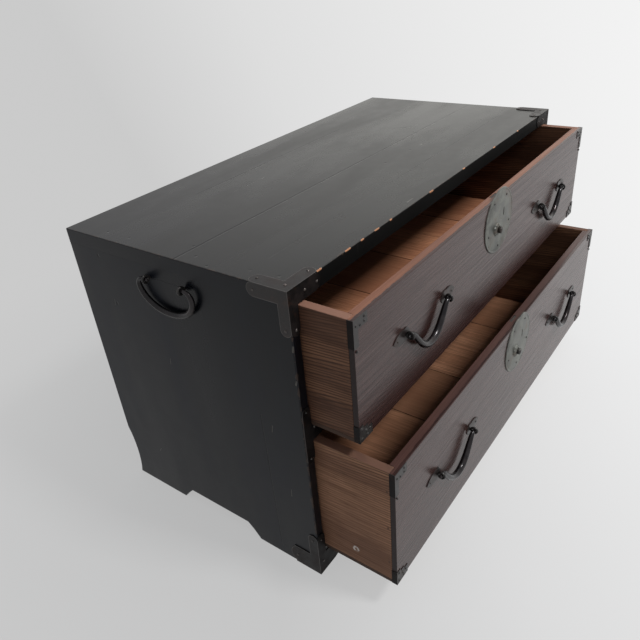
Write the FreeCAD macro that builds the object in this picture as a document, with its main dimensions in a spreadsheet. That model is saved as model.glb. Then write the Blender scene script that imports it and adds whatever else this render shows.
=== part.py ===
import FreeCAD, Part
import Sketcher

import math
import os
import re

# A two-drawer tansu chest section: lacquered board case, two pegged drawers with round lock plates
# and forged bail handles, corner irons, and a carrying bail on each side.
# Frame: origin on the floor at the centre of the case's footprint, +X to the right, +Y to the back,
# +Z up, millimetres. The drawers stand partly open: `top_pull` and `bottom_pull` say how far.

doc = FreeCAD.newDocument("tansu_chest")
sheet = doc.addObject("Spreadsheet::Sheet", "Sizes")

SIZES = {
    # case boards
    "case_width": 870,
    "case_depth": 425,
    "case_height": 500,
    "top_thick": 23,
    "side_thick": 16,
    "back_thick": 8,
    "back_lap": 8,
    "foot_height": 26.8,
    "foot_gap_width": 181,
    "foot_gap_slope": 24,
    "bottom_thick": 19.9,
    "bottom_rail_depth": 18,
    "lower_opening": 218.7,
    "rail_height": 25.2,
    "rail_depth": 20,
    "runner_width": 16,
    "stop_depth": 12,
    "stop_height": 16,
    "stop_gap": 1,
    # drawers
    "top_pull": 76,
    "bottom_pull": 125.3,
    "face_proud": 0.5,
    "drawer_play": 1.2,
    "edge_gap_low": 2,
    "edge_gap_top": 2.3,
    "running_gap": 0.3,
    "front_thick": 16,
    "front_lap": 8,
    "drawer_side_thick": 13.5,
    "drawer_back_thick": 9,
    "drawer_back_drop": 5,
    "floor_thick": 7,
    "peg_radius": 1.8,
    "peg_bite": 14,
    "peg_margin": 12,
    # irons
    "iron_thick": 1.2,
    "cap_reach": 62,
    "cap_width": 19,
    "cap_drop": 63,
    "foot_plate_reach": 56,
    "foot_plate_height": 38,
    "foot_plate_rise": 84,
    "foot_plate_lift": 1,
    "tee_height": 95,
    "tee_reach": 60,
    "drawer_iron_thick": 0.8,
    "drawer_iron_across": 29,
    "drawer_iron_high": 39,
    "drawer_iron_arm": 15,
    "drawer_iron_stem": 9,
    "drawer_iron_foot": 26,
    "nail_radius": 2.1,
    "nail_dome": 1.2,
    "nail_shank": 0.9,
    "nail_length": 6.5,
    # locks
    "lock_radius": 53.5,
    "lock_thick": 1.8,
    "top_lock_drop": 39.7,
    "bottom_lock_drop": 44,
    "bottom_lock_overlap": 8,
    "button_across": 10,
    "button_below": 11,
    "button_radius": 5.5,
    "button_stand": 10,
    "button_tail": 3,
    "collar_width": 6,
    "collar_height": 4,
    "button_travel": 6,
    "keyhole_across": 15.5,
    "keyhole_above": 10.5,
    "keyhole_width": 3,
    "keyhole_tall": 13.5,
    "lock_box_width": 64,
    "lock_box_below": 26,
    "lock_box_above": 19,
    "lock_box_depth": 11,
    "lock_box_wall": 1.2,
    "bolt_width": 22,
    "bolt_thick": 4,
    "bolt_inset": 9.5,
    "bolt_below_edge": 0.5,
    "bolt_foot": 4,
    "mortise_depth": 5,
    "fit_gap": 0.3,
    "strike_width": 44,
    "strike_depth": 17,
    # handles
    "bail_inset": 190,
    "top_bail_depth": 83.5,
    "bottom_bail_depth": 97,
    "eye_half": 56,
    "pivot_stand": 8,
    "bail_drop": 40.6,
    "bail_clear": 3.4,
    "bail_middle": 5.6,
    "pin_radius": 2.8,
    "eye_wire": 1.8,
    "stud_radius": 2,
    "stud_leg": 13,
    "leaf_inner": 10,
    "leaf_outer": 31,
    "leaf_half": 10,
    "leaf_nail": 21,
    "side_bail_below": 40,
    "side_eye_half": 35,
    "side_bail_drop": 46.8,
    "side_bail_clear": 0.7,
    "side_bail_middle": 4.8,
}

for row, (alias, value) in enumerate(SIZES.items(), start=1):
    sheet.set(f"A{row}", alias.replace("_", " "))
    sheet.set(f"B{row}", str(value))
    sheet.setAlias(f"B{row}", alias)
doc.recompute()

# Heights and half-widths that many boards share, as sheet expressions.
HALF_W = "case_width / 2"
HALF_D = "case_depth / 2"
INNER = "(case_width / 2 - side_thick)"
UNDER_TOP = "(case_height - top_thick)"
LOW_FLOOR = "(foot_height + bottom_thick)"
RAIL_UNDER = "(foot_height + bottom_thick + lower_opening)"
HIGH_FLOOR = "(foot_height + bottom_thick + lower_opening + rail_height)"
DRAWER_HALF = "(case_width / 2 - side_thick - drawer_play)"
DRAWER_LENGTH = "(case_depth - back_thick - stop_depth - stop_gap + face_proud)"

nodes = []


def size(alias):
    """Value of one driving dimension, read from the sheet."""
    return float(sheet.get(alias))


def bind(item, prop, text):
    """Tie a property to the sheet: every alias in the text becomes a reference to its cell."""
    text = re.sub(r"[a-z]\w+", lambda word: f"Sizes.{word[0]}" if word[0] in SIZES else word[0], text)
    item.setExpression(prop, text)


def place(item, x, y, z):
    """Put an item's own corner or centre at a point written as sheet expressions."""
    for axis, text in zip("xyz", (x, y, z)):
        bind(item, f".Placement.Base.{axis}", text)


def box(x, y, z, length, width, height):
    """Board or block from its low corner and its three sizes."""
    item = doc.addObject("Part::Box", "block")
    place(item, x, y, z)
    for prop, text in (("Length", length), ("Width", width), ("Height", height)):
        bind(item, prop, text)
    return item


AXES = {
    "x": FreeCAD.Rotation(FreeCAD.Vector(0, 1, 0), 90),
    "y": FreeCAD.Rotation(FreeCAD.Vector(1, 0, 0), -90),
    "z": FreeCAD.Rotation(),
}


def rod(axis, x, y, z, radius, length):
    """Round bar that starts at a point and runs along +X, +Y or +Z."""
    item = doc.addObject("Part::Cylinder", "rod")
    item.Placement.Rotation = AXES[axis]
    place(item, x, y, z)
    bind(item, "Radius", radius)
    bind(item, "Height", length)
    return item


def fuse(items):
    """One solid out of overlapping pieces of the same forging or board."""
    item = doc.addObject("Part::MultiFuse", "joined")
    item.Shapes = items
    return item


def cut(base, tools):
    """A piece with openings cut in it."""
    item = doc.addObject("Part::Cut", "shaped")
    item.Base = base
    item.Tool = tools[0] if len(tools) == 1 else fuse(tools)
    return item


def group(items):
    """Several equal pieces kept as separate solids in one node."""
    item = doc.addObject("Part::Compound", "set")
    item.Links = items
    return item


def mirror(source, normal=(1, 0, 0)):
    """The same piece made for the other side of the chest."""
    item = doc.addObject("Part::Mirroring", "mirrored")
    item.Source = source
    item.Normal = FreeCAD.Vector(*normal)
    return item


def node(name, item):
    """Name a finished sub-part."""
    item.Label = name
    nodes.append(item)
    return item


def outline(body, role, points):
    """Closed sketch through (across, up) corners, each coordinate tied to the sheet."""
    sketch = body.newObject("Sketcher::SketchObject", "outline")
    plane = next(item for item in body.Origin.OriginFeatures if item.Role == role)
    sketch.AttachmentSupport = [(plane, "")]
    sketch.MapMode = "FlatFace"
    count = len(points)
    rough = [FreeCAD.Vector(math.cos(k * 2 * math.pi / count), math.sin(k * 2 * math.pi / count), 0)
             for k in range(count)]
    for k in range(count):
        sketch.addGeometry(Part.LineSegment(rough[k] * 100, rough[(k + 1) % count] * 100), False)
    for k, (across, up) in enumerate(points):
        sketch.addConstraint(Sketcher.Constraint("Coincident", k, 2, (k + 1) % count, 1))
        for kind, text, start in (("DistanceX", across, rough[k].x), ("DistanceY", up, rough[k].y)):
            index = sketch.addConstraint(Sketcher.Constraint(kind, -1, 1, k, 1, start * 100))
            bind(sketch, f"Constraints[{index}]", text)
    return sketch


# ---------------------------------------------------------------- case boards

def top_board():
    """Lacquered board across the whole case, with the top lock bolt's mortise in its underside."""
    board = box(f"-{HALF_W}", f"-{HALF_D}", UNDER_TOP, "case_width", "case_depth", "top_thick")
    return cut(board, [bolt_mortise(UNDER_TOP)])


def bolt_mortise(under):
    """Pocket that takes a lock's bolt when its drawer is shut."""
    return box("-bolt_width / 2 - fit_gap", f"-{HALF_D} - face_proud + bolt_inset - 2 * fit_gap",
               f"{under} - 1", "bolt_width + 2 * fit_gap", "bolt_thick + 4 * fit_gap",
               "mortise_depth + 1 + button_travel / 2")


def side_board():
    """End board with the sloped foot cut-out below and a rabbet for the back boards."""
    body = doc.addObject("PartDesign::Body", "end_board")
    gap = "foot_gap_width / 2"
    profile = outline(body, "YZ_Plane", [
        (f"-{HALF_D}", "0"), (f"-{gap}", "0"), (f"-{gap} + foot_gap_slope", "foot_height"),
        (f"{gap} - foot_gap_slope", "foot_height"), (gap, "0"), (HALF_D, "0"),
        (HALF_D, UNDER_TOP), (f"-{HALF_D}", UNDER_TOP)])
    pad = body.newObject("PartDesign::Pad", "thickness")
    pad.Profile = profile
    bind(pad, "Length", "side_thick")
    place(body, f"-{HALF_W}", "0", "0")
    rabbet = box(f"-{INNER} - back_lap", f"{HALF_D} - back_thick", "foot_height",
                 "back_lap + 1", "back_thick + 1", f"{UNDER_TOP} - foot_height")
    return cut(body, [rabbet])


def back_planks():
    """Three thin boards nailed into the rabbets, edge to edge."""
    count = 3
    tall = f"({UNDER_TOP} - foot_height) / {count}"
    return group([box(f"-{INNER} - back_lap", f"{HALF_D} - back_thick", f"foot_height + {k} * {tall}",
                      f"2 * ({INNER} + back_lap)", "back_thick", tall) for k in range(count)])


def drawer_stops():
    """Blocks behind each drawer, on the runners and on the bottom board."""
    blocks = []
    for floor in (LOW_FLOOR, HIGH_FLOOR):
        for x in (f"-{INNER}", f"{INNER} - runner_width"):
            blocks.append(box(x, f"{HALF_D} - back_thick - stop_depth", floor,
                              "runner_width", "stop_depth", "stop_height"))
    return group(blocks)


def case_pegs():
    """Wooden pegs: up into the top, through the end boards into what they carry, and through the back."""
    pegs = []
    middle_of_side = f"{HALF_W} - side_thick / 2"
    for side in (-1, 1):
        for k in range(4):
            y = f"(case_depth - 90) * ({k} / 3 - 0.5)"
            pegs.append(rod("z", f"{side} * ({middle_of_side})", y, f"{UNDER_TOP} - peg_bite",
                            "peg_radius", "peg_bite + top_thick * 0.6"))
        start = f"-{INNER} - side_thick * 0.8" if side < 0 else f"{INNER} - peg_bite"
        length = "side_thick * 0.8 + peg_bite"
        for k in range(3):
            y = f"(case_depth - 110) * ({k} / 2 - 0.5)"
            pegs.append(rod("x", start, y, "foot_height + bottom_thick / 2", "peg_radius", length))
        pegs.append(rod("x", start, f"-{HALF_D} + rail_depth / 2", f"{RAIL_UNDER} + rail_height / 2",
                        "peg_radius", length))
        pegs.append(rod("x", start, f"-{HALF_D} + bottom_rail_depth / 2", "foot_height / 2",
                        "peg_radius", length))
        short = "side_thick * 0.8 + runner_width * 0.6"
        short_start = start if side < 0 else f"{INNER} - runner_width * 0.6"
        for y in ("-case_depth / 5", "case_depth / 4"):
            pegs.append(rod("x", short_start, y, f"{RAIL_UNDER} + rail_height / 2", "peg_radius", short))
        for k in range(6):
            z = f"foot_height + ({k} + 0.5) / 6 * ({UNDER_TOP} - foot_height)"
            pegs.append(rod("y", f"{side} * ({INNER} + back_lap / 2)", f"{HALF_D} - back_thick - peg_bite", z,
                            "peg_radius", "back_thick + peg_bite"))
    return group(pegs)


node("top_board", top_board())
left_side = node("left_side", side_board())
node("right_side", mirror(left_side))
node("bottom_board", box(f"-{INNER}", f"-{HALF_D} + bottom_rail_depth", "foot_height", f"2 * {INNER}",
                         "case_depth - bottom_rail_depth - back_thick", "bottom_thick"))
node("bottom_rail", box(f"-{INNER}", f"-{HALF_D}", "0", f"2 * {INNER}", "bottom_rail_depth", LOW_FLOOR))
node("middle_rail", cut(box(f"-{INNER}", f"-{HALF_D}", RAIL_UNDER, f"2 * {INNER}", "rail_depth",
                            "rail_height"), [bolt_mortise(RAIL_UNDER)]))
node("back_boards", back_planks())
left_runner = node("left_runner", box(f"-{INNER}", f"-{HALF_D} + rail_depth", RAIL_UNDER, "runner_width",
                                      "case_depth - rail_depth - back_thick", "rail_height"))
node("right_runner", mirror(left_runner))
node("drawer_stops", drawer_stops())
node("case_pegs", case_pegs())


# ---------------------------------------------------------------- irons on the case

def corner_cap():
    """Iron cap over a top front corner: two arms on the top, the end board and the front edge."""
    edge_x = f"-{HALF_W} - iron_thick"
    edge_y = f"-{HALF_D} - iron_thick"
    half = "cap_width / 2"
    reach = f"cap_reach - {half} + iron_thick"
    low = "case_height - cap_drop"
    front_half = "(side_thick + iron_thick) / 2"
    arms = [
        # on the top
        box(edge_x, edge_y, "case_height", reach, "cap_width + iron_thick", "iron_thick"),
        rod("z", f"{edge_x} + {reach}", f"{edge_y} + (cap_width + iron_thick) / 2", "case_height",
            "(cap_width + iron_thick) / 2", "iron_thick"),
        box(edge_x, edge_y, "case_height", "cap_width + iron_thick", reach, "iron_thick"),
        rod("z", f"{edge_x} + (cap_width + iron_thick) / 2", f"{edge_y} + {reach}", "case_height",
            "(cap_width + iron_thick) / 2", "iron_thick"),
        # on the end board
        box(edge_x, edge_y, "case_height - cap_width", "iron_thick", reach, "cap_width + iron_thick"),
        rod("x", edge_x, f"{edge_y} + {reach}", f"case_height - {half} + iron_thick / 2",
            "(cap_width + iron_thick) / 2", "iron_thick"),
        box(edge_x, edge_y, f"{low} + {front_half}", "iron_thick", "side_thick + iron_thick",
            f"cap_drop - {front_half}"),
        rod("x", edge_x, f"{edge_y} + {front_half}", f"{low} + {front_half}", front_half, "iron_thick"),
        # on the front edge
        box(edge_x, edge_y, UNDER_TOP, f"{reach} - 2", "iron_thick", "top_thick + iron_thick"),
        rod("y", f"{edge_x} + {reach} - 2", edge_y, f"{UNDER_TOP} + top_thick / 2", "top_thick / 2",
            "iron_thick"),
        box(edge_x, edge_y, f"{low} + {front_half}", "side_thick + iron_thick", "iron_thick",
            f"cap_drop - {front_half}"),
        rod("y", f"{edge_x} + {front_half}", edge_y, f"{low} + {front_half}", front_half, "iron_thick"),
    ]
    return fuse(arms)


def foot_plate():
    """Iron plate round a bottom front corner, clear of the floor."""
    edge_x = f"-{HALF_W} - iron_thick"
    edge_y = f"-{HALF_D} - iron_thick"
    half = "(foot_plate_height - foot_plate_lift) / 2"
    rise_half = "(side_thick + iron_thick) / 2"
    tall = f"foot_plate_rise - foot_plate_lift - {rise_half}"
    arms = [
        box(edge_x, edge_y, "foot_plate_lift", "iron_thick", f"foot_plate_reach + iron_thick - {half} / 2",
            f"2 * {half}"),
        rod("x", edge_x, f"{edge_y} + foot_plate_reach - {half}", f"foot_plate_lift + {half}", half,
            "iron_thick"),
        box(edge_x, edge_y, "foot_plate_lift", "iron_thick", f"2 * {rise_half}", tall),
        rod("x", edge_x, f"{edge_y} + {rise_half}", f"foot_plate_lift + {tall}", rise_half, "iron_thick"),
        box(edge_x, edge_y, "foot_plate_lift", f"foot_plate_reach + iron_thick - {half}", "iron_thick",
            f"2 * {half}"),
        rod("y", f"{edge_x} + foot_plate_reach - {half}", edge_y, f"foot_plate_lift + {half}", half,
            "iron_thick"),
        box(edge_x, edge_y, "foot_plate_lift", f"2 * {rise_half}", "iron_thick", tall),
        rod("y", f"{edge_x} + {rise_half}", edge_y, f"foot_plate_lift + {tall}", rise_half, "iron_thick"),
    ]
    return fuse(arms)


def tee_plate():
    """Iron T over the joint of the middle rail and the end board's front edge."""
    face = f"-{HALF_D} - iron_thick"
    half = "side_thick / 2"
    middle = f"{RAIL_UNDER} + rail_height / 2 - tee_height / 2"
    return fuse([
        box(f"-{HALF_W}", face, f"{middle} + {half}", "side_thick", "iron_thick", f"tee_height - 2 * {half}"),
        rod("y", f"-{HALF_W} + {half}", face, f"{middle} + {half}", half, "iron_thick"),
        rod("y", f"-{HALF_W} + {half}", face, f"{middle} + tee_height - {half}", half, "iron_thick"),
        box(f"-{HALF_W}", face, RAIL_UNDER, "tee_reach - rail_height / 2", "iron_thick", "rail_height"),
        rod("y", f"-{HALF_W} + tee_reach - rail_height / 2", face, f"{RAIL_UNDER} + rail_height / 2",
            "rail_height / 2", "iron_thick"),
    ])


def nail(axis, sign, x, y, z, plate="iron_thick"):
    """Round-headed nail whose head sits on a plate and whose shank runs into the wood.

    The point is on the wood's surface and `sign` is the side of the axis that the head faces.
    """
    head_rise = f"({plate} + nail_dome)"
    ends = {"x": x, "y": y, "z": z}
    head = dict(ends)
    shank = dict(ends)
    head[axis] = f"{ends[axis]} + {plate}" if sign > 0 else f"{ends[axis]} - {head_rise}"
    shank[axis] = f"{ends[axis]} - nail_length" if sign > 0 else f"{ends[axis]} - {head_rise}"
    return fuse([
        rod(axis, head["x"], head["y"], head["z"], "nail_radius", "nail_dome"),
        rod(axis, shank["x"], shank["y"], shank["z"], "nail_shank", f"nail_length + {head_rise}"),
    ])


def case_nails():
    """Nails of every iron on the case, left and right."""
    front = f"-{HALF_D}"
    left = f"-{HALF_W}"
    cap_z = "case_height - top_thick / 2"
    nails = [
        # corner cap: front, top and end
        nail("y", -1, f"{left} + cap_reach - 7", front, cap_z),
        nail("y", -1, f"{left} + cap_reach / 2", front, cap_z),
        nail("y", -1, f"{left} + side_thick / 2", front, "case_height - cap_drop + 8"),
        nail("z", 1, f"{left} + cap_width / 2", f"{front} + cap_reach - 9", "case_height"),
        nail("z", 1, f"{left} + cap_reach - 9", f"{front} + cap_width / 2", "case_height"),
        nail("z", 1, f"{left} + cap_width / 2 + 2", f"{front} + cap_width / 2 + 2", "case_height"),
        nail("x", -1, left, f"{front} + cap_reach - 9", "case_height - cap_width / 2"),
        nail("x", -1, left, f"{front} + side_thick / 2", "case_height - cap_drop + 8"),
        # foot plate: front and end
        nail("y", -1, f"{left} + side_thick / 2", front, "foot_plate_rise - 12"),
        nail("y", -1, f"{left} + side_thick / 2", front, "foot_plate_height / 2 + 5"),
        nail("y", -1, f"{left} + foot_plate_reach - 12", front, "foot_plate_height / 2"),
        nail("x", -1, left, f"{front} + side_thick / 2", "foot_plate_rise - 12"),
        nail("x", -1, left, f"{front} + foot_plate_reach - 14", "foot_plate_height / 2"),
        # rail plate
        nail("y", -1, f"{left} + side_thick / 2", front,
             f"{RAIL_UNDER} + rail_height / 2 - tee_height / 2 + 7"),
        nail("y", -1, f"{left} + side_thick / 2", front,
             f"{RAIL_UNDER} + rail_height / 2 + tee_height / 2 - 7"),
        nail("y", -1, f"{left} + tee_reach - 9", front, f"{RAIL_UNDER} + rail_height / 2"),
        nail("y", -1, f"{left} + side_thick + 5", front, f"{RAIL_UNDER} + rail_height * 0.8"),
    ]
    left_set = group(nails)
    return group([left_set, mirror(left_set)])


def strike(under):
    """Thin plate round a mortise, where a bolt goes up."""
    plate = box("-strike_width / 2", f"-{HALF_D} + 0.5", f"{under} - drawer_iron_thick",
                "strike_width", "strike_depth", "drawer_iron_thick")
    return cut(plate, [bolt_mortise(under)])


left_cap = node("top_left_corner_cap", corner_cap())
node("top_right_corner_cap", mirror(left_cap))
left_foot = node("bottom_left_corner_plate", foot_plate())
node("bottom_right_corner_plate", mirror(left_foot))
left_tee = node("left_rail_plate", tee_plate())
node("right_rail_plate", mirror(left_tee))
node("case_nails", case_nails())
node("top_strike_plate", strike(UNDER_TOP))
node("rail_strike_plate", strike(RAIL_UNDER))


# ---------------------------------------------------------------- forged handles

def bezier(points, share):
    """Point and direction at a share of the way along a cubic curve with four control points."""
    a, b, c, d = points
    rest = 1 - share
    spot = a * rest ** 3 + b * 3 * rest ** 2 * share + c * 3 * rest * share ** 2 + d * share ** 3
    aim = (b - a) * rest ** 2 + (c - b) * 2 * rest * share + (d - c) * share ** 2
    return spot, aim.normalize()


def bail_shape(half, drop, clear, middle, tips, curl, belly):
    """Forged bail: thin pin ends along the pivot line, soon swelling to a thick grip.

    Its own frame has the pivot line on X and the grip below, `clear` of the board's surface.
    `tips` are the pin's end and the start of the curve from the eye, `curl` carries the curve
    outwards past the eye when positive and inwards when negative, and `belly` widens the bottom.
    """
    pin = size("pin_radius")
    lean = FreeCAD.Vector(0, size("pivot_stand") - clear - middle, -drop)
    tip, start = (half + offset for offset in tips)
    control = [FreeCAD.Vector(start, 0, 0), FreeCAD.Vector(start + curl, 0, 0),
               lean + FreeCAD.Vector(belly, 0, 0), lean]
    heading = FreeCAD.Vector(math.copysign(1, curl), 0, 0)
    stations = [(FreeCAD.Vector(tip, 0, 0), heading, pin),
                (FreeCAD.Vector((tip + start) / 2, 0, 0), heading, pin)]
    steps = 9
    for k in range(steps):
        share = k / (steps - 1)
        spot, aim = bezier(control, share)
        swell = math.sin(math.pi / 2 * share) ** 0.7
        stations.append((spot, aim, pin + (middle - pin) * swell))
    other = [(FreeCAD.Vector(-spot.x, spot.y, spot.z), FreeCAD.Vector(aim.x, -aim.y, -aim.z), radius)
             for spot, aim, radius in reversed(stations[:-1])]
    side = FreeCAD.Vector(1, 0, 0).cross(lean).normalize()
    sections = []
    for spot, aim, radius in stations + other:
        ring = Part.Wire(Part.makeCircle(radius))
        turn = FreeCAD.Rotation(side, FreeCAD.Vector(), aim, "ZXY")
        ring.Placement = FreeCAD.Placement(spot, turn)
        sections.append(ring)
    return Part.makeLoft(sections, True, False)


def bail(name, shape, x, y, z, turn):
    """Set a bail's shape at its pivot line."""
    item = doc.addObject("Part::Feature", "bail")
    item.Shape = shape
    item.Placement.Rotation = FreeCAD.Rotation(FreeCAD.Vector(0, 0, 1), turn)
    place(item, x, y, z)
    return node(name, item)


def eye(across, face, x, y, z, thick):
    """Split eye for one bail end: a ring on the pivot line and a shank through the board.

    `across` is the pivot line's axis and `face` the sheet expression of the board's outer surface.
    The two legs are clenched over against the inside of the board, which is `thick` there.
    """
    ring = doc.addObject("Part::Torus", "ring")
    ring.Placement.Rotation = AXES[across]
    place(ring, x, y, z)
    bind(ring, "Radius1", "pin_radius + fit_gap + eye_wire")
    bind(ring, "Radius2", "eye_wire")
    start = "(pivot_stand - pin_radius - fit_gap - eye_wire)"
    tail = f"{thick} + {start}"
    if across == "x":
        shank = rod("y", x, f"{face} - {start}", z, "stud_radius", tail)
        leg = rod("z", x, f"{face} - {start} + {tail} - stud_radius", f"{z} - stud_leg", "stud_radius * 0.9",
                  "2 * stud_leg")
    else:
        shank = rod("x", f"{face} - {start}", y, z, "stud_radius", tail)
        leg = rod("z", f"{face} - {start} + {tail} - stud_radius", y, f"{z} - stud_leg", "stud_radius * 0.9",
                  "2 * stud_leg")
    return fuse([ring, shank, leg])


def side_bail_parts():
    """Carrying bail and its two eyes on the left end board, and the mirrored set on the right."""
    height = "(case_height - side_bail_below)"
    face = f"-{HALF_W}"
    line = f"-{HALF_W} - pivot_stand"
    eyes = group([eye("y", face, line, f"{sign} * side_eye_half", height, "side_thick")
                  for sign in (-1, 1)])
    left_eyes = node("left_side_bail_eyes", eyes)
    node("right_side_bail_eyes", mirror(left_eyes))
    shape = bail_shape(size("side_eye_half"), size("side_bail_drop"), size("side_bail_clear"),
                       size("side_bail_middle"), (-5, 5), 24, 53)
    bail("left_side_bail", shape, line, "0", height, -90)
    bail("right_side_bail", shape, f"{HALF_W} + pivot_stand", "0", height, 90)


side_bail_parts()


# ---------------------------------------------------------------- drawers

def drawer_floor(face, floor):
    """Boards of unequal width under the drawer, grain from front to back, edge to edge."""
    shares = (0, 0.16, 0.39, 0.57, 0.82, 1)
    boards = []
    for low, high in zip(shares, shares[1:]):
        boards.append(box(f"(2 * {low} - 1) * {DRAWER_HALF}", f"{face} + front_lap", f"{floor} + running_gap",
                          f"2 * {DRAWER_HALF} * ({high} - {low})", f"{DRAWER_LENGTH} - front_lap",
                          "floor_thick"))
    return group(boards)


def drawer_pegs(face, floor, top):
    """Wooden pegs through the drawer's corners, and up through its floor into the sides."""
    low = f"({floor} + running_gap + floor_thick)"
    tall = f"({top} - {low})"
    through = "drawer_side_thick + peg_bite"
    back = f"{face} + {DRAWER_LENGTH} - drawer_back_thick / 2"
    run = f"({DRAWER_LENGTH} - front_thick - drawer_back_thick - 2 * peg_margin)"
    pegs = []
    for side in (-1, 1):
        start = f"-{DRAWER_HALF}" if side < 0 else f"{DRAWER_HALF} - ({through})"
        for share in (0.17, 0.5, 0.83):
            z = f"{low} + {share} * {tall}"
            pegs.append(rod("x", start, f"{face} + (front_lap + front_thick) / 2", z, "peg_radius", through))
            pegs.append(rod("x", start, back, f"{low} + {share} * ({tall} - drawer_back_drop)",
                            "peg_radius", through))
        for k in range(5):
            y = f"{face} + front_thick + peg_margin + {k} / 4 * {run}"
            pegs.append(rod("z", f"{side} * ({DRAWER_HALF} - drawer_side_thick / 2)", y,
                            f"{floor} + running_gap", "peg_radius", "floor_thick + peg_bite"))
    return group(pegs)


def corner_irons(face, low, top):
    """Thin irons at a drawer front's four corners, each folded round its end.

    The upper ones are an L with a long stem down the edge, the lower ones are stepped and broader.
    """
    skin = "drawer_iron_thick"
    edge = f"-{DRAWER_HALF} - {skin}"
    front = f"{face} - {skin}"
    middle = "(drawer_iron_across + drawer_iron_stem) / 2"
    upper = [
        box(edge, front, f"{top} - drawer_iron_arm", f"drawer_iron_across + {skin}", skin, "drawer_iron_arm"),
        box(edge, front, f"{top} - drawer_iron_high", f"drawer_iron_stem + {skin}", skin, "drawer_iron_high"),
        box(edge, front, f"{top} - drawer_iron_high", skin, f"front_lap + {skin}", "drawer_iron_high"),
    ]
    lower = [
        box(edge, front, low, f"drawer_iron_across + {skin}", skin, "drawer_iron_arm"),
        box(edge, front, low, f"{middle} + {skin}", skin, "(drawer_iron_arm + drawer_iron_foot) / 2"),
        box(edge, front, low, f"drawer_iron_stem + {skin}", skin, "drawer_iron_foot"),
        box(edge, front, low, skin, f"front_lap + {skin}", "drawer_iron_foot"),
    ]
    left = group([fuse(upper), fuse(lower)])
    return group([left, mirror(left)])


def leaf(face, sign, middle, z):
    """Leaf-shaped plate behind one eye: two arcs that meet in points, rounded around the eye."""
    eye_x = f"{middle} + {sign} * eye_half"
    centre = f"{eye_x} + {sign} * (leaf_outer - leaf_inner) / 2"
    half_long = "((leaf_outer + leaf_inner) / 2)"
    radius = f"({half_long} * {half_long} + leaf_half * leaf_half) / (2 * leaf_half)"
    arcs = []
    for up in (-1, 1):
        arcs.append(rod("y", centre, f"{face} - iron_thick", f"{z} + {up} * ({radius} - leaf_half)", radius,
                        "iron_thick"))
    lens = doc.addObject("Part::MultiCommon", "leaf")
    lens.Shapes = arcs
    disc = rod("y", eye_x, f"{face} - iron_thick", z, "leaf_inner", "iron_thick")
    return fuse([lens, disc])


def lock_plate(face, centre, top, cut_top):
    """Round iron plate with a keyhole and a raised collar round the button."""
    front = f"{face} - lock_thick"
    button = ("-button_across", f"{front} - collar_height", f"{centre} - button_below")
    disc = rod("y", "0", front, centre, "lock_radius", "lock_thick")
    if cut_top:
        above = f"{top} + bottom_lock_overlap"
        disc = cut(disc, [box("-lock_radius", f"{front} - 1", above, "2 * lock_radius", "lock_thick + 2",
                              "lock_radius")])
    collar = rod("y", *button, "button_radius + collar_width", "collar_height + lock_thick")
    return cut(fuse([disc, collar]), [button_hole(face, centre), keyhole(face, centre)])


def button_hole(face, centre):
    """Round way through plate, collar and drawer front for the push button."""
    start = f"{face} - lock_thick - collar_height - 1"
    return rod("y", "-button_across", start, f"{centre} - button_below", "button_radius + fit_gap",
               "lock_thick + collar_height + 1 + button_travel + 2")


def keyhole(face, centre):
    """Tall narrow slot from the plate's face to the lock box."""
    return box("keyhole_across - keyhole_width / 2", f"{face} - lock_thick - 1",
               f"{centre} + keyhole_above - keyhole_tall / 2", "keyhole_width",
               "lock_thick + 1 + front_thick - lock_box_depth + 1", "keyhole_tall")


def lock_recess(face, centre, spare):
    """Block of space that the lock box fills in the back of the drawer front."""
    return box(f"-lock_box_width / 2 - {spare}", f"{face} + front_thick - lock_box_depth - {spare}",
               f"{centre} - lock_box_below - {spare}", f"lock_box_width + 2 * {spare}",
               f"lock_box_depth + {spare}", f"lock_box_below + lock_box_above + 2 * {spare}")


def bolt_slot(face, centre, top):
    """Way for the bolt from the lock box up through the drawer front's top edge."""
    return box("-bolt_width / 2 - fit_gap", f"{face} + bolt_inset - fit_gap",
               f"{centre} - bolt_foot - fit_gap", "bolt_width + 2 * fit_gap", "bolt_thick + 2 * fit_gap",
               f"{top} - {centre} + bolt_foot + fit_gap + 1")


def lock_box(face, centre, top):
    """Iron tray let into the back of the drawer front, open towards the plate."""
    wall = "lock_box_wall"
    shell = lock_recess(face, centre, "0")
    hollow = box(f"-lock_box_width / 2 + {wall}", f"{face} + front_thick - lock_box_depth - 1",
                 f"{centre} - lock_box_below + {wall}", f"lock_box_width - 2 * {wall}",
                 f"lock_box_depth + 1 - {wall}", f"lock_box_below + lock_box_above - 2 * {wall}")
    return cut(shell, [hollow, bolt_slot(face, centre, top)])


def lock_nail_points(centre):
    """Places of the five nails near the lock plate's rim."""
    rim = "0.8 * lock_radius"
    for turn in (58, 124, -18, 198, -90):
        yield f"{rim} * cos({turn} deg)", f"{centre} + {rim} * sin({turn} deg)"


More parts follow.
